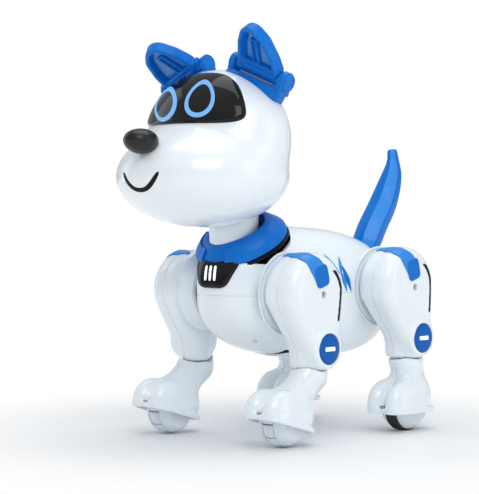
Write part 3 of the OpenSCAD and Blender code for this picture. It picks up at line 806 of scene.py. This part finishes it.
def build_neck():
    """Plain tube with chamfered ends."""
    profile = ((15.8, 117), (16.4, 118), (16.4, 149), (15.6, 150))      # (radius, z)
    m, k = 128, len(profile)
    t = around(m)
    grid = np.stack([points(r * np.cos(t), NECK_Y + r * np.sin(t), z) for r, z in profile], 1)
    faces = [(j * k + i, (j + 1) % m * k + i, (j + 1) % m * k + i + 1, j * k + i + 1)
             for j in range(m) for i in range(k - 1)]
    faces += [tuple(j * k for j in range(m))[::-1], tuple(j * k + k - 1 for j in range(m))]
    add_mesh("neck_tube", (grid.reshape(-1, 3), faces), LIGHT, "neck", ("neck",))


# facets of the side emblem: y from the datum, z, height, lean, half width, material
EMBLEM = ((3.0, 116.6, 16.2, 0.877, 1.6, LIGHT_BLUE), (11.8, 114.5, 15, -0.04, 1.5, LIGHT_BLUE),
          (17.2, 106.0, 19, 0.45, 2.4, BLUE), (14.2, 103.5, 14, 0.37, 1.8, LIGHT_BLUE))


def build_emblems():
    """Four slanted facets in relief on each side of the trunk."""
    r, f = disc_grid(6, 40)
    for side, side_name in SIDES:
        for k, (y, z, height, lean, half_width, material) in enumerate(EMBLEM):
            u = half_width * r * square_off(np.cos(f), 1.2)
            w = 0.5 * height * r * square_off(np.sin(f), 1.2)
            d = points(TRUNK_RADII[0], y + DATUM_Y - TRUNK_CENTRE[1] + u - w * lean,
                       z - TRUNK_CENTRE[2] + w)
            add_mesh(f"side_emblem_{side_name}_{k}",
                     cup(on_trunk(d, 1.2 - 0.8 * r), on_trunk(d, 0.05)), material, "trunk",
                     ("side_emblems",), sharp=25, mirror=side < 0)


# ------------------------------------------------------------------ legs
# strap over the crown of the thigh: x, y and z from the hip, radius
STRAP = ((41.0, -12.5, 25.0, 0.5), (46.0, -10.0, 26.0, 2.0), (53.0, -9.5, 26.0, 4.0),
         (60.0, -8.6, 23.6, 5.2), (65.0, -5.0, 19.0, 6.2), (66.1, -0.8, 13.4, 6.5))


class Leg:
    """Distance fields of one left leg. hip, knee and wheel are (y, z) pairs."""

    def __init__(self, end, hip_joint, paw_tilt):
        self.end = end
        self.rear = end == "rear"
        self.paw_tilt = paw_tilt
        self.hip, self.knee, self.wheel = (
            joint(f"{end}_left_{name}")[1:] for name in (hip_joint, "knee", "wheel_spin"))

    def side_view(self, P):
        """Distance to the thigh's side outline, and the share of the way from hip to knee."""
        run = self.knee - self.hip
        t = np.clip(((P[..., 1:] - self.hip) @ run) / (run @ run), 0, 1)
        centre = self.hip + t[..., None] * run
        radius = 27.2 - 13.6 * (t ** 1.15)
        return np.linalg.norm(P[..., 1:] - centre, axis=-1) - radius, t

    def thigh_solid(self, P):
        knee_y, knee_z = self.knee
        outline, t = self.side_view(P)
        middle_x = 51.6 + 3.2 * t
        half_width = 14.6 - 2.6 * t
        d = rounded_meet(outline, np.abs(P[..., 0] - middle_x) - half_width, 9.5 - 1.5 * t)
        # knee barrel that shows below and in front of the knee disc
        d = soft_min(d, drum(P, [50.2, knee_y - 4.5, knee_z - 1.5], 9.6, 12.2, 3.2, axis=2), 5)
        # housing of the knee disc
        return soft_min(d, drum(P, [62.3, knee_y, knee_z], 13.0, 5.0, 2.2), 3.5)

    def thigh(self, P):
        (hip_y, hip_z), (knee_y, knee_z) = self.hip, self.knee
        solid = self.thigh_solid(P)
        outline, _ = self.side_view(P)
        # recess for the disc
        d = soft_cut(solid, drum(P, [68.4, knee_y, knee_z], 10.15, 3.6, 0.3), 0.4)
        # screw hole
        d = soft_cut(d, drum(P, [68, hip_y + 3, hip_z], 2.3, 4.6, 0.4), 0.5)
        # room for the knee tongue
        d = soft_cut(d, drum(P, [52.4, knee_y, knee_z], 11.2, 5.9, 0.3), 0.4)
        d = soft_cut(d, brick(P, [52.4, knee_y + 1, knee_z - 13], [5.9, 9.5, 13], 0.6), 0.4)
        # groove of the dark line
        g = np.maximum(np.abs(outline + 6.7) - 1.4, np.abs(P[..., 2] - (hip_z - 1)) - 16.6)
        g = np.maximum(g, -(P[..., 1] - hip_y - 6))
        g = np.maximum(g, -(solid + 0.7))
        g = np.maximum(g, -(P[..., 0] - 56))
        return soft_cut(d, g, 0.3)

    def accent_line(self, P):
        """Dark line that lies in the thigh's groove."""
        hip_y, hip_z = self.hip
        outline, _ = self.side_view(P)
        g = soft_max(np.abs(outline + 6.7) - 1.3, np.abs(P[..., 2] - (hip_z - 1)) - 16.4, 0.5)
        g = soft_cut(g, P[..., 1] - hip_y - 6, 0.3)
        g = soft_cut(g, P[..., 0] - 56, 0.3)
        return soft_max(g, np.abs(self.thigh_solid(P) + 0.7) - 0.85, 0.3)

    def strap(self, P):
        """Strap with a pointed inner end and a broad blunt outer end."""
        hip_y, hip_z = self.hip
        stations = [(np.array([x, hip_y + y, hip_z + z]), r) for x, y, z, r in STRAP]
        spans = [taper(P, start, end, r0, r1)
                 for (start, r0), (end, r1) in zip(stations[:-1], stations[1:])]
        s = spans[0]
        for span in spans[1:]:
            s = soft_min(s, span, 1.5)
        solid = self.thigh_solid(P)
        return soft_cut(soft_max(s, solid - 0.7, 0.8), solid + 0.35, 0.2)

    def strap_face(self, P):
        """The deeper blue facet on the strap's outer side."""
        solid = self.thigh_solid(P)
        q = P - np.array([66.0, self.hip[0] + 0.3, self.hip[1] + 12.0])
        lean = math.radians(17)
        u = q[..., 1] * math.cos(lean) + q[..., 2] * math.sin(lean)
        w = -q[..., 1] * math.sin(lean) + q[..., 2] * math.cos(lean)
        s = super_radius(u / (6.3 + 0.05 * w), w / 7.1, 4.5)
        return soft_cut(soft_max(soft_max((s - 1) * 6.4, solid - 0.95, 0.5), -(solid + 0.2), 0.2),
                        -np.full_like(solid, -1e9), 0.2) if False else soft_cut(
            soft_max((s - 1) * 6.4, solid - 0.95, 0.5), solid + 0.2, 0.2)

    def shin_solid(self, P, Q):
        """Shin and paw; Q is P in the tilted frame of the paw."""
        (knee_y, knee_z), (wheel_y, wheel_z) = self.knee, self.wheel
        rear = self.rear
        run_y = wheel_y - knee_y
        # cuff: a scoop that cups the knee, its rear lip higher
        cuff = ellipsoid(P, [52, knee_y + 1.0 + 0.1 * run_y, knee_z - 15.5], [11.0, 12.0, 8.8])
        cuff = soft_min(cuff, taper(P, [52, knee_y + 5, knee_z - 15],
                                    [52, knee_y + 8.5, knee_z - 12.0], 5.5, 3.6), 4)
        ankle = [52, wheel_y + (5.5 if rear else 10.0), wheel_z + 15]
        calf = taper(P, [52, knee_y + 0.18 * run_y, knee_z - 19], ankle, 10.0, 11.6)
        d = soft_min(cuff, calf, 5)
        # the back of the calf is fuller
        d = soft_min(d, taper(P, [52, knee_y + (8.0 if rear else 4.0), knee_z - 21.5],
                              [52, wheel_y + (9.5 if rear else 12.0), wheel_z + 14],
                              6.5, 7.5), 5)
        heel = ellipsoid(Q, [52, wheel_y + 4.6, wheel_z + 5.4], [16.0, 16.6, 14.0])
        inner_toe, outer_toe = (ellipsoid(Q, [x, wheel_y - 9, wheel_z + 3.2], [9.2, 17.4, 15.8])
                                for x in (44.2, 59.8))
        paw = soft_min(soft_min(inner_toe, outer_toe, 3.5), heel, 7)
        d = soft_min(d, paw, 7)
        # lip: a thin flared rim round the foot
        q = Q - np.array([52, wheel_y - 2.0, wheel_z - 1.6])
        lip = super_radius(q[..., 0] / 17.2, q[..., 1] / 22.8, 3.2)
        lip = soft_max((lip - 1) * 17.0, np.abs(q[..., 2]) - 1.5, 1.0)
        d = soft_min(d, lip, 3.0)
        return soft_cut(d, Q[..., 2] - (wheel_z - 3.3), 0.6)

    def shin(self, P):
        (knee_y, knee_z), (wheel_y, wheel_z) = self.knee, self.wheel
        Q = turned(P, self.wheel, -self.paw_tilt)
        # hollow under the foot and the wheel well
        q = Q - np.array([52, wheel_y - 3.5, wheel_z])
        hollow = super_radius(q[..., 0] / 14.6, q[..., 1] / 19.6, 3.2)
        hollow = soft_max((hollow - 1) * 14.5, Q[..., 2] - (wheel_z + 2.0), 1.5)
        well = drum(P, [52, wheel_y, wheel_z], 16.75, 11.9, 0.8)
        d = soft_cut(self.shin_solid(P, Q), soft_min(hollow, well, 0.5), 0.6)
        # keep clear of the thigh's knee barrel and disc housing
        clear = np.minimum(drum(P, [52, knee_y, knee_z], 14.5, 20, 0.5),
                           drum(P, [50.2, knee_y - 4.5, knee_z - 1.5], 10.3, 13.0, 3.0, axis=2))
        d = soft_cut(d, clear, 0.6)
        # keep clear of the thigh over the backward end of the knee's travel
        for bend in ((8.4, 4.0) if self.rear else (3.4,)):
            d = soft_cut(d, self.thigh_solid(turned(P, self.knee, bend)) - 0.5, 0.6)
        # tongue into the knee
        root = [52.4, knee_y + 0.08 * (wheel_y - knee_y), knee_z - 17]
        tongue = soft_min(drum(P, [52.4, knee_y, knee_z], 10.6, 5.5, 0.6),
                          taper(P, [52.4, knee_y, knee_z - 6], root, 5.2, 5.2), 2)
        return np.minimum(d, tongue)


def half(field, side, gap=0.07):
    """Outer (+1) or inner (-1) half of a field, parted at the leg's middle plane."""
    return lambda P: soft_max(field(P), gap - side * (P[..., 0] - LEG_X), 0.5)


def build_leg_shells(leg):
    (hip_y, hip_z), (knee_y, knee_z) = leg.hip, leg.knee
    wheel_y = leg.wheel[0]
    front, back = min(hip_y - 30, knee_y - 17), max(hip_y + 30, knee_y + 16)
    base, top = knee_z - 17, hip_z + 30
    shin_front, shin_back = wheel_y - 29, max(wheel_y + 22, knee_y + 18)
    shin_top = knee_z + 12
    # name, field, low corner, high corner, cell, material, body, piece replaced
    pieces = (
        ("thigh_outer", half(leg.thigh, 1), [51, front, base], [70, back, top],
         FINE_CELL, WHITE, "thigh", "thigh_outer"),
        ("thigh_inner", half(leg.thigh, -1), [34, front, base], [53, back, top],
         FINE_CELL, WHITE, "thigh", "thigh_inner"),
        ("accent_line", leg.accent_line, [55, hip_y, hip_z - 22], [69, hip_y + 30, hip_z + 18],
         0.45, DARK, "thigh", None),
        ("shoulder_strap", leg.strap, [42, hip_y - 28, hip_z + 2], [70, hip_y + 14, hip_z + 31],
         0.5, LIGHT_BLUE, "thigh", "shoulder_insert"),
        ("shoulder_strap_face", leg.strap_face, [56, hip_y - 10, hip_z + 2],
         [70, hip_y + 12, hip_z + 26], 0.5, BLUE, "thigh", None),
        ("shin_outer", half(leg.shin, 1), [51, shin_front, 8], [71, shin_back, shin_top],
         FINE_CELL, WHITE, "shin", "shin_outer"),
        ("shin_inner", half(leg.shin, -1), [33, shin_front, 8], [53, shin_back, shin_top],
         FINE_CELL, WHITE, "shin", "shin_inner"))
    for name, field, low, high, cell, material, body, replaced in pieces:
        left, right = (
            (f"{leg.end}_{side}_{name}_form", material, f"{leg.end}_{side}_{body}",
             (f"{leg.end}_{side}_{replaced}",) if replaced else ()) for _, side in SIDES)
        piece = add_mesh(left[0], surface_net(field, low, high, cell), *left[1:], sharp=42)
        add_mirrored(piece, *right)


# (x, radius); x of the wheel parts is from the leg's middle plane
KNEE_DISC = ((64.9, 0.01), (64.9, 9.4), (65.2, 9.8), (67.0, 9.9), (67.5, 9.5), (67.75, 8.6),
             (67.95, 5), (68.0, 0.01))
THIGH_SCREW = ((62, 0.01), (62, 1.9), (64.0, 1.95), (64.6, 1.6), (64.8, 0.9), (64.1, 0.7),
               (64.1, 0.01))
WHEEL_CAP = (
    (4.7, 0.01), (4.7, 14.4),
    *((15.7 * math.sin(a), 15.7 * math.cos(a)) for a in np.linspace(0.33, 0.79, 12)),
    (11.25, 10.4), (11.0, 6.0), (11.4, 3.4), (11.4, 0.01))
WHEEL_DRUM = ((-4.7, 0.01), (-4.7, 12), (4.7, 12), (4.7, 0.01))
TYRE_SECTION = (
    (-4.5, 12.1), (-4.5, 15.2), (-3.9, 15.9),
    *((x, 16.0 if k % 2 else 15.75) for k, x in enumerate(np.linspace(-3.6, 3.6, 13))),
    (3.9, 15.9), (4.5, 15.2), (4.5, 12.1))


def build_knee(leg, side, limb):
    """Domed blue disc with a raised white bar."""
    y, z = leg.knee
    thigh = f"{limb}_thigh"
    add_lathe_x(f"{limb}_knee_disc", leg.knee, KNEE_DISC, DEEP_BLUE, thigh,
                (f"{limb}_knee_cap",), side=side)
    bar = surface_net(lambda P: brick(P, [68.0, y, z], [0.55, 4.6, 1.35], 0.5),
                      [67, y - 6, z - 3], [69, y + 6, z + 3], 0.3)
    add_mesh(f"{limb}_knee_bar", bar, WHITE_LIGHT, thigh, sharp=42, mirror=side < 0)


def roller(centre, start):
    """Barrel bent round the wheel, starting at an angle in degrees."""
    rows, ring = 15, 20
    a = math.radians(start) + np.linspace(0, math.radians(32), rows)[:, None]
    b = np.linspace(0, 2 * math.pi, ring, endpoint=False)
    swell = 1 - 0.35 * np.abs(np.linspace(-1, 1, rows)[:, None]) ** 4
    radius = 14.0 + 2.0 * swell * np.sin(b)
    grid = points(LEG_X + 4.3 * np.cos(b), centre[0] + radius * np.cos(a),
                  centre[1] + radius * np.sin(a))
    return face_outward(grid.reshape(-1, 3), tube_faces(rows, ring) + end_caps(rows, ring))


def build_wheel(leg, side, limb):
    """Two domed caps on a drum, with a tyre on the rear wheels and rollers on the front."""
    body = f"{limb}_wheel"
    for way, name in ((1, "outer"), (-1, "inner")):
        add_lathe_x(f"{limb}_wheel_cap_{name}", leg.wheel, [(way * x, r) for x, r in WHEEL_CAP],
                    LIGHT, body, (f"{limb}_wheel_hub",), x0=LEG_X, side=side)
    add_lathe_x(f"{limb}_wheel_drum", leg.wheel, WHEEL_DRUM, LIGHT, body, x0=LEG_X, side=side)
    if leg.rear:
        add_lathe_x(f"{limb}_tyre_form", leg.wheel, TYRE_SECTION, TYRE, body,
                    (f"{limb}_tyre",), x0=LEG_X, side=side)
    else:
        add_mesh(f"{limb}_roller_set", join([roller(leg.wheel, 36 * k + 3) for k in range(10)]),
                 LIGHT, body, (f"{limb}_rollers",), mirror=side < 0)


def build_legs(legs):
    for leg in legs:
        build_leg_shells(leg)
        for side, side_name in SIDES:
            limb = f"{leg.end}_{side_name}"
            build_knee(leg, side, limb)
            add_lathe_x(f"{limb}_thigh_screw", [leg.hip[0] + 3, leg.hip[1]], THIGH_SCREW, STEEL,
                        f"{limb}_thigh", side=side, segments=48)
            build_wheel(leg, side, limb)


# ------------------------------------------------------------------ ears
# The ear lies in its own frame: x along the hinge, z up the ear, its front face towards -y.
HINGE_TURN = np.array([[math.cos(EAR_YAW), -math.sin(EAR_YAW), 0],
                       [math.sin(EAR_YAW), math.cos(EAR_YAW), 0], [0, 0, 1]]) @ \
    np.array([[math.cos(EAR_ROLL), 0, math.sin(EAR_ROLL)], [0, 1, 0],
              [-math.sin(EAR_ROLL), 0, math.cos(EAR_ROLL)]])
# circles whose common hull is the outline of the ear: x, z, radius
EAR_CIRCLES = np.array([[10.0, 7, 6.2], [9.6, 10.5, 6.0], [11.6, 19.5, 6.6], [16.9, 25.4, 9.4],
                        [21.3, 22.3, 9.2], [28, 13.0, 7.4], [31, 7, 6]])
HULL_ANGLES = np.arange(0, 360, 3) * math.pi / 180
HULL_X, HULL_Z = np.cos(HULL_ANGLES), np.sin(HULL_ANGLES)
HULL_REACH = (EAR_CIRCLES[:, 0, None] * HULL_X + EAR_CIRCLES[:, 1, None] * HULL_Z
              + EAR_CIRCLES[:, 2, None]).max(0)


def from_hinge(P, turn=HINGE_TURN):
    return EAR_HINGE + P @ turn.T


def ear_outline(P):
    d = np.full(P.shape[:-1], -1e9)
    for x, z, limit in zip(HULL_X, HULL_Z, HULL_REACH):
        d = np.maximum(d, P[..., 0] * x + P[..., 2] * z - limit)
    return d


def ear_field(P):
    outline = ear_outline(P)
    d = rounded_meet(outline, np.abs(P[..., 1]) - 4.1, 1.3)
    # bevelled well in the front face
    depth = np.clip(P[..., 1] + 4.1, 0, 6)
    d = soft_cut(d, soft_max(outline + 2.9 + 0.42 * depth, P[..., 1] - 1.4, 0.4), 0.7)
    # slotted tongue and cross bar inside the well
    tongue = brick(P, [17.5, 0.4, 15.0], [3.2, 2.3, 10.5], 1.2)
    slot = brick(P, [17.5, -2.6, 16.0], [1.2, 2.4, 8.2], 0.6)
    bar = brick(P, [19.5, -0.6, 6.4], [14.5, 2.6, 1.5], 0.9)
    d = soft_min(d, soft_max(soft_cut(tongue, slot, 0.4), outline + 3.0, 0.3), 0.5)
    d = soft_min(d, soft_max(bar, outline + 1.0, 0.3), 0.5)
    # hinge barrel, its web and its pin
    d = soft_min(d, drum(P, [18.8, 0, 0], 4.2, 18.1, 0.5), 1.5)
    d = soft_min(d, brick(P, [18.8, 0, 3.5], [18.1, 2.6, 3.6], 0.8), 1.2)
    return np.minimum(d, drum(P, [19.0, 0, 0], 2.0, 22.2, 0.3))


def ear_panel_field(P):
    return soft_max(ear_outline(P) + 4.6, np.abs(P[..., 1] - 1.15) - 0.55, 0.4)


def build_ears():
    ear, ear_faces = surface_net(ear_field, [-4.5, -5.5, -5.5], [43, 5.5, 36.5], EAR_CELL)
    panel, panel_faces = surface_net(ear_panel_field, [2, -0.4, 2], [40, 2.6, 36], 0.7)
    # the right ear is folded further forward
    for (side, side_name), fold in zip(SIDES, (36.0, 59.0)):
        a = math.radians(fold)
        turn = HINGE_TURN @ np.array([[1, 0, 0], [0, math.cos(a), -math.sin(a)],
                                      [0, math.sin(a), math.cos(a)]])
        body = f"{side_name}_ear"
        add_mesh(f"{body}_form", (from_hinge(ear, turn), ear_faces), BLUE, body, (body,),
                 sharp=42, mirror=side < 0)
        add_mesh(f"{body}_inner_panel", (from_hinge(panel, turn), panel_faces), EAR_PANEL, body,
                 mirror=side < 0)


def lug_field(P):
    """Hinge lugs at both ends, with a raised ring on the outer one."""
    inner = drum(P, [-2.3, 0, 0], 5.3, 2.3, 0.7)
    inner = soft_min(inner, brick(P, [-2.3, 0, -3.6], [2.3, 4.4, 2.6], 0.7), 1.0)
    outer = drum(P, [40.1, 0, 0], 6.8, 2.5, 0.9)
    outer = soft_min(outer, brick(P, [39.9, 0, -5.2], [2.2, 5.6, 4.0], 0.7), 1.0)
    ring = soft_cut(drum(P, [43.0, 0, 0], 5.7, 0.8, 0.3),
                    drum(P, [43.9, 0, 0], 5.0, 0.45, 0.1), 0.2)
    return np.minimum(inner, np.minimum(outer, ring))


def build_ear_bases():
    """A wedge that follows the head, and the two hinge lugs."""
    r, f = disc_grid(14, 120)
    u, v = square_off(np.cos(f), 5), square_off(np.sin(f), 5)
    top = from_hinge(points(19 + 23.4 * r * u, 6.4 * r * v, -5.0 - 0.9 * rim_fall(r)))
    foot = from_hinge(points(19 + 22.8 * r * u, 8.4 * r * v, -9))
    wedge = cup(top, on_head(foot - HEAD_CENTRE, 0.12))
    lugs, lug_faces = surface_net(lug_field, [-5.6, -8, -10.5], [45, 8, 8], 0.6)
    lugs = from_hinge(lugs)
    for side, side_name in SIDES:
        replaced = (f"{side_name}_ear_base",)
        add_mesh(f"{side_name}_ear_base_form", wedge, BLUE, "head", replaced, sharp=45,
                 mirror=side < 0)
        add_mesh(f"{side_name}_ear_lugs", (lugs, lug_faces), BLUE, "head", replaced, sharp=42,
                 mirror=side < 0)


# ------------------------------------------------------------------ tail
# stations from root to tip: y from the datum, z, half width, half depth
TAIL = np.array([[79.6, 123.4, 8.2, 7.0], [81.4, 128.0, 11.2, 8.8], [88.2, 139.8, 11.8, 9.0],
                 [98.8, 154.4, 11.4, 8.8], [106.3, 167.8, 9.8, 8.0], [110.9, 178.5, 7.5, 6.6],
                 [112.3, 187.0, 4.6, 4.8], [111.5, 194.4, 3.4, 3.8]])
# corners of the section: across and rearward, as shares of the half sizes
TAIL_SECTION = np.array([(-0.32, -1.0), (0.32, -1.0), (1.0, -0.18), (0.86, 0.62), (0.34, 1.0),
                         (-0.34, 1.0), (-0.86, 0.62), (-1.0, -0.18)])
TAIL_HIGHLIGHT_COLUMNS = (5, 21)        # columns of faces in the lighter blue: a painted highlight on the bevels that catch the light


def catmull_rom(stations, steps=8):
    padded = np.concatenate([[2 * stations[0] - stations[1]], stations,
                             [2 * stations[-1] - stations[-2]]])
    curve = []
    for p0, p1, p2, p3 in zip(padded, padded[1:], padded[2:], padded[3:]):
        for t in np.linspace(0, 1, steps, endpoint=False):
            curve.append(0.5 * (2 * p1 + (p2 - p0) * t + (2 * p0 - 5 * p1 + 4 * p2 - p3) * t ** 2
                                + (3 * p1 - p0 - 3 * p2 + p3) * t ** 3))
    return np.array(curve + [stations[-1]])


def build_tail():
    """Faceted tail that rises to the rear, each corner of its section slightly blunted; the bevels
    that catch the light get a painted highlight in lighter blue.
    """
    section = []
    for before, p, after in zip(np.roll(TAIL_SECTION, 1, 0), TAIL_SECTION,
                                np.roll(TAIL_SECTION, -1, 0)):
        section += [p + (before - p) * 0.07, p + (before + after - 2 * p) * 0.018,
                    p + (after - p) * 0.07]
    across, rearward = np.array(section).T
    curve = catmull_rom(TAIL)
    tangents = unit(np.gradient(curve[:, :2], axis=0))
    rows = []
    for (y, z, half_width, half_depth), (run, rise) in zip(curve, tangents):
        rows.append(points(across * half_width, y + DATUM_Y + rise * rearward * half_depth,
                           z - run * rearward * half_depth))
    # rounded tip
    tip = rows[-1]
    along = np.array([0, *tangents[-1]])
    centre = tip.mean(0)
    rows += [centre + (tip - centre) * size + along * advance
             for size, advance in ((0.86, 0.9), (0.55, 1.35))]
    count, ring = len(rows), len(across)
    shape = face_outward(np.concatenate(rows), tube_faces(count, ring) + end_caps(count, ring))
    tail = add_mesh("tail_form", shape, BLUE, "tail", ("tail",), sharp=18)
    # painted highlight: the lighter blue on the bevel columns stands for light falling on those
    # facets
    tail.data.materials.append(LIGHT_BLUE)
    side_faces = (count - 1) * ring
    tail.data.polygons.foreach_set("material_index", [
        int(face.index < side_faces and face.index % ring in TAIL_HIGHLIGHT_COLUMNS)
        for face in tail.data.polygons])


# ------------------------------------------------------------------ stage, metres
def floor_material():
    """Pale floor that fades into a plain white glow away from the dog."""
    material = bpy.data.materials.new("pale_floor")
    tree = empty_tree(material)
    output = add_node(tree, "OutputMaterial")
    surface = add_node(tree, "BsdfPrincipled", {"Base Color": (0.93, 0.94, 0.95, 1),
                                                "Roughness": 0.55})
    glow = add_node(tree, "Emission", {"Color": (1, 1, 1, 1), "Strength": 1.0})
    mix = add_node(tree, "MixShader")
    place = add_node(tree, "TexCoord")
    distance = add_node(tree, "VectorMath", {0: place.outputs["Object"]}, operation="LENGTH")
    fade = add_node(tree, "MapRange", {"From Min": 0.10, "From Max": 0.31, "To Min": 0.0,
                                       "Value": distance.outputs["Value"]},
                    interpolation_type="SMOOTHSTEP")
    noise = add_node(tree, "TexNoise", {"Scale": 60})
    relief = add_node(tree, "Bump", {"Strength": 0.01, "Height": noise.outputs["Fac"]})
    fill(tree, surface, {"Normal": relief.outputs[0]})
    fill(tree, mix, {0: fade.outputs[0], 1: surface.outputs[0], 2: glow.outputs[0]})
    fill(tree, output, {0: mix.outputs[0]})
    return material


def build_floor():
    radius, segments = 4.0, 96
    material = floor_material()
    mesh = bpy.data.meshes.new("floor")
    rim = [(radius * math.cos(i * 2 * math.pi / segments),
            radius * math.sin(i * 2 * math.pi / segments), 0) for i in range(segments)]
    mesh.from_pydata([(0, 0, 0)] + rim, [],
                     [(0, 1 + i, 1 + (i + 1) % segments) for i in range(segments)])
    floor = bpy.data.objects.new("floor", mesh)
    floor.location = (0, DATUM_Y / 1000, -0.00005)
    mesh.materials.append(material)
    bpy.context.scene.collection.objects.link(floor)
    floor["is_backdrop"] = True


def build_world():
    """White to the camera; a soft vertical gradient to everything it lights."""
    world = bpy.data.worlds.new("studio")
    bpy.context.scene.world = world
    tree = empty_tree(world)
    output = add_node(tree, "OutputWorld")
    backdrop = add_node(tree, "Background", {"Color": (1, 1, 1, 1), "Strength": 1.0})
    lighting = add_node(tree, "Background", {"Strength": 0.51})
    place = add_node(tree, "TexCoord")
    axes = add_node(tree, "SeparateXYZ", {0: place.outputs["Generated"]})
    ramp = add_node(tree, "ValToRGB")
    set_ramp(ramp, ((0.0, (0.55, 0.62, 0.68)), (0.47, (0.62, 0.70, 0.77)),
                    (0.56, (0.80, 0.87, 0.93)), (0.75, (0.93, 0.96, 1.0)),
                    (1.0, (1.0, 1.0, 1.0))))
    height = add_node(tree, "MapRange", {"From Min": -1, "From Max": 1,
                                         "Value": axes.outputs["Z"]})
    fill(tree, ramp, {0: height.outputs[0]})
    fill(tree, lighting, {"Color": ramp.outputs[0]})
    rays = add_node(tree, "LightPath")
    mix = add_node(tree, "MixShader", {0: rays.outputs["Is Camera Ray"],
                                       1: lighting.outputs[0], 2: backdrop.outputs[0]})
    fill(tree, output, {0: mix.outputs[0]})


def add_area_light(name, place, target, width, height, power, colour):
    light = bpy.data.lights.new(name, "AREA")
    light.shape = "RECTANGLE"
    light.size = width
    light.size_y = height
    light.energy = power
    light.color = colour
    lamp = bpy.data.objects.new(name, light)
    lamp.location = place
    lamp.rotation_euler = (Vector(target) - Vector(place)).to_track_quat("-Z", "Y").to_euler()
    bpy.context.scene.collection.objects.link(lamp)
    lamp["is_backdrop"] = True


def build_lights():
    add_area_light("key_softbox", place=(0.75, -0.55, 0.9), target=(0, 0, 0.1), width=0.6,
                   height=0.6, power=4.1, colour=(1, 0.99, 0.97))
    add_area_light("top_softbox", place=(0.0, 0.15, 1.25), target=(0, 0.02, 0.1), width=0.9,
                   height=0.9, power=5.2, colour=(0.97, 0.99, 1.0))
    add_area_light("left_strip", place=(-0.9, -0.25, 0.45), target=(0, 0, 0.14), width=0.35,
                   height=0.9, power=1.0, colour=(0.93, 0.97, 1.0))
    add_area_light("right_strip", place=(1.05, 0.35, 0.4), target=(0, 0.03, 0.12), width=0.4,
                   height=0.9, power=1.2, colour=(0.95, 0.98, 1.0))


def build_camera():
    """Looks at the dog from its front left, just above level."""
    azimuth, elevation, distance = math.radians(42.0), math.radians(1.5), 1.2
    aim_left, aim_up = 0.028538813, 0.0051369863    # turn off the target, as tangents
    back = Vector((math.sin(azimuth) * math.cos(elevation),
                   -math.cos(azimuth) * math.cos(elevation), math.sin(elevation)))
    right = Vector((math.cos(azimuth), math.sin(azimuth), 0))
    up = back.cross(right)
    place = Vector((0, DATUM_Y / 1000, 0.12)) + back * distance
    z = -(-back - right * aim_left + up * aim_up).normalized()
    x = Vector((0, 0, 1)).cross(z).normalized()
    y = z.cross(x)
    lens = bpy.data.cameras.new("main_camera")
    camera = bpy.data.objects.new("main_camera", lens)
    camera.matrix_world = Matrix(((x.x, y.x, z.x, place.x), (x.y, y.y, z.y, place.y),
                                  (x.z, y.z, z.z, place.z), (0, 0, 0, 1)))
    lens.sensor_fit = "VERTICAL"
    lens.sensor_height = 36
    lens.lens = 127.676113
    lens.clip_start = 0.01
    bpy.context.scene.collection.objects.link(camera)
    bpy.context.scene.camera = camera


def set_view():
    view = bpy.context.scene.view_settings
    view.view_transform = "Standard"
    view.look = "None"
    view.exposure = 0.0
    view.gamma = 1.0


# ------------------------------------------------------------------ build
LEGS = (Leg("front", "shoulder", paw_tilt=16), Leg("rear", "hip", paw_tilt=0))

paint_cad_pieces()
build_head_shells()
build_visor()
build_eyes()
build_nose()
build_smile()
build_trunk_shells()
build_joint_rings(LEGS)
build_battery_door()
build_chest()
build_collar()
build_neck()
build_emblems()
build_legs(LEGS)
build_ears()
build_ear_bases()
build_tail()
build_floor()
build_world()
build_lights()
build_camera()
set_view()

VIS_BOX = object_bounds()


def plain(b):
    """Nested lists and floats, ready for JSON."""
    if isinstance(b, dict):
        return {k_: plain(v_) for k_, v_ in b.items()}
    try:
        return [plain(q_) for q_ in b]
    except TypeError:               # a single number
        return float(b)


{"cad": plain(CAD_BOX), "visual": plain(VIS_BOX)}
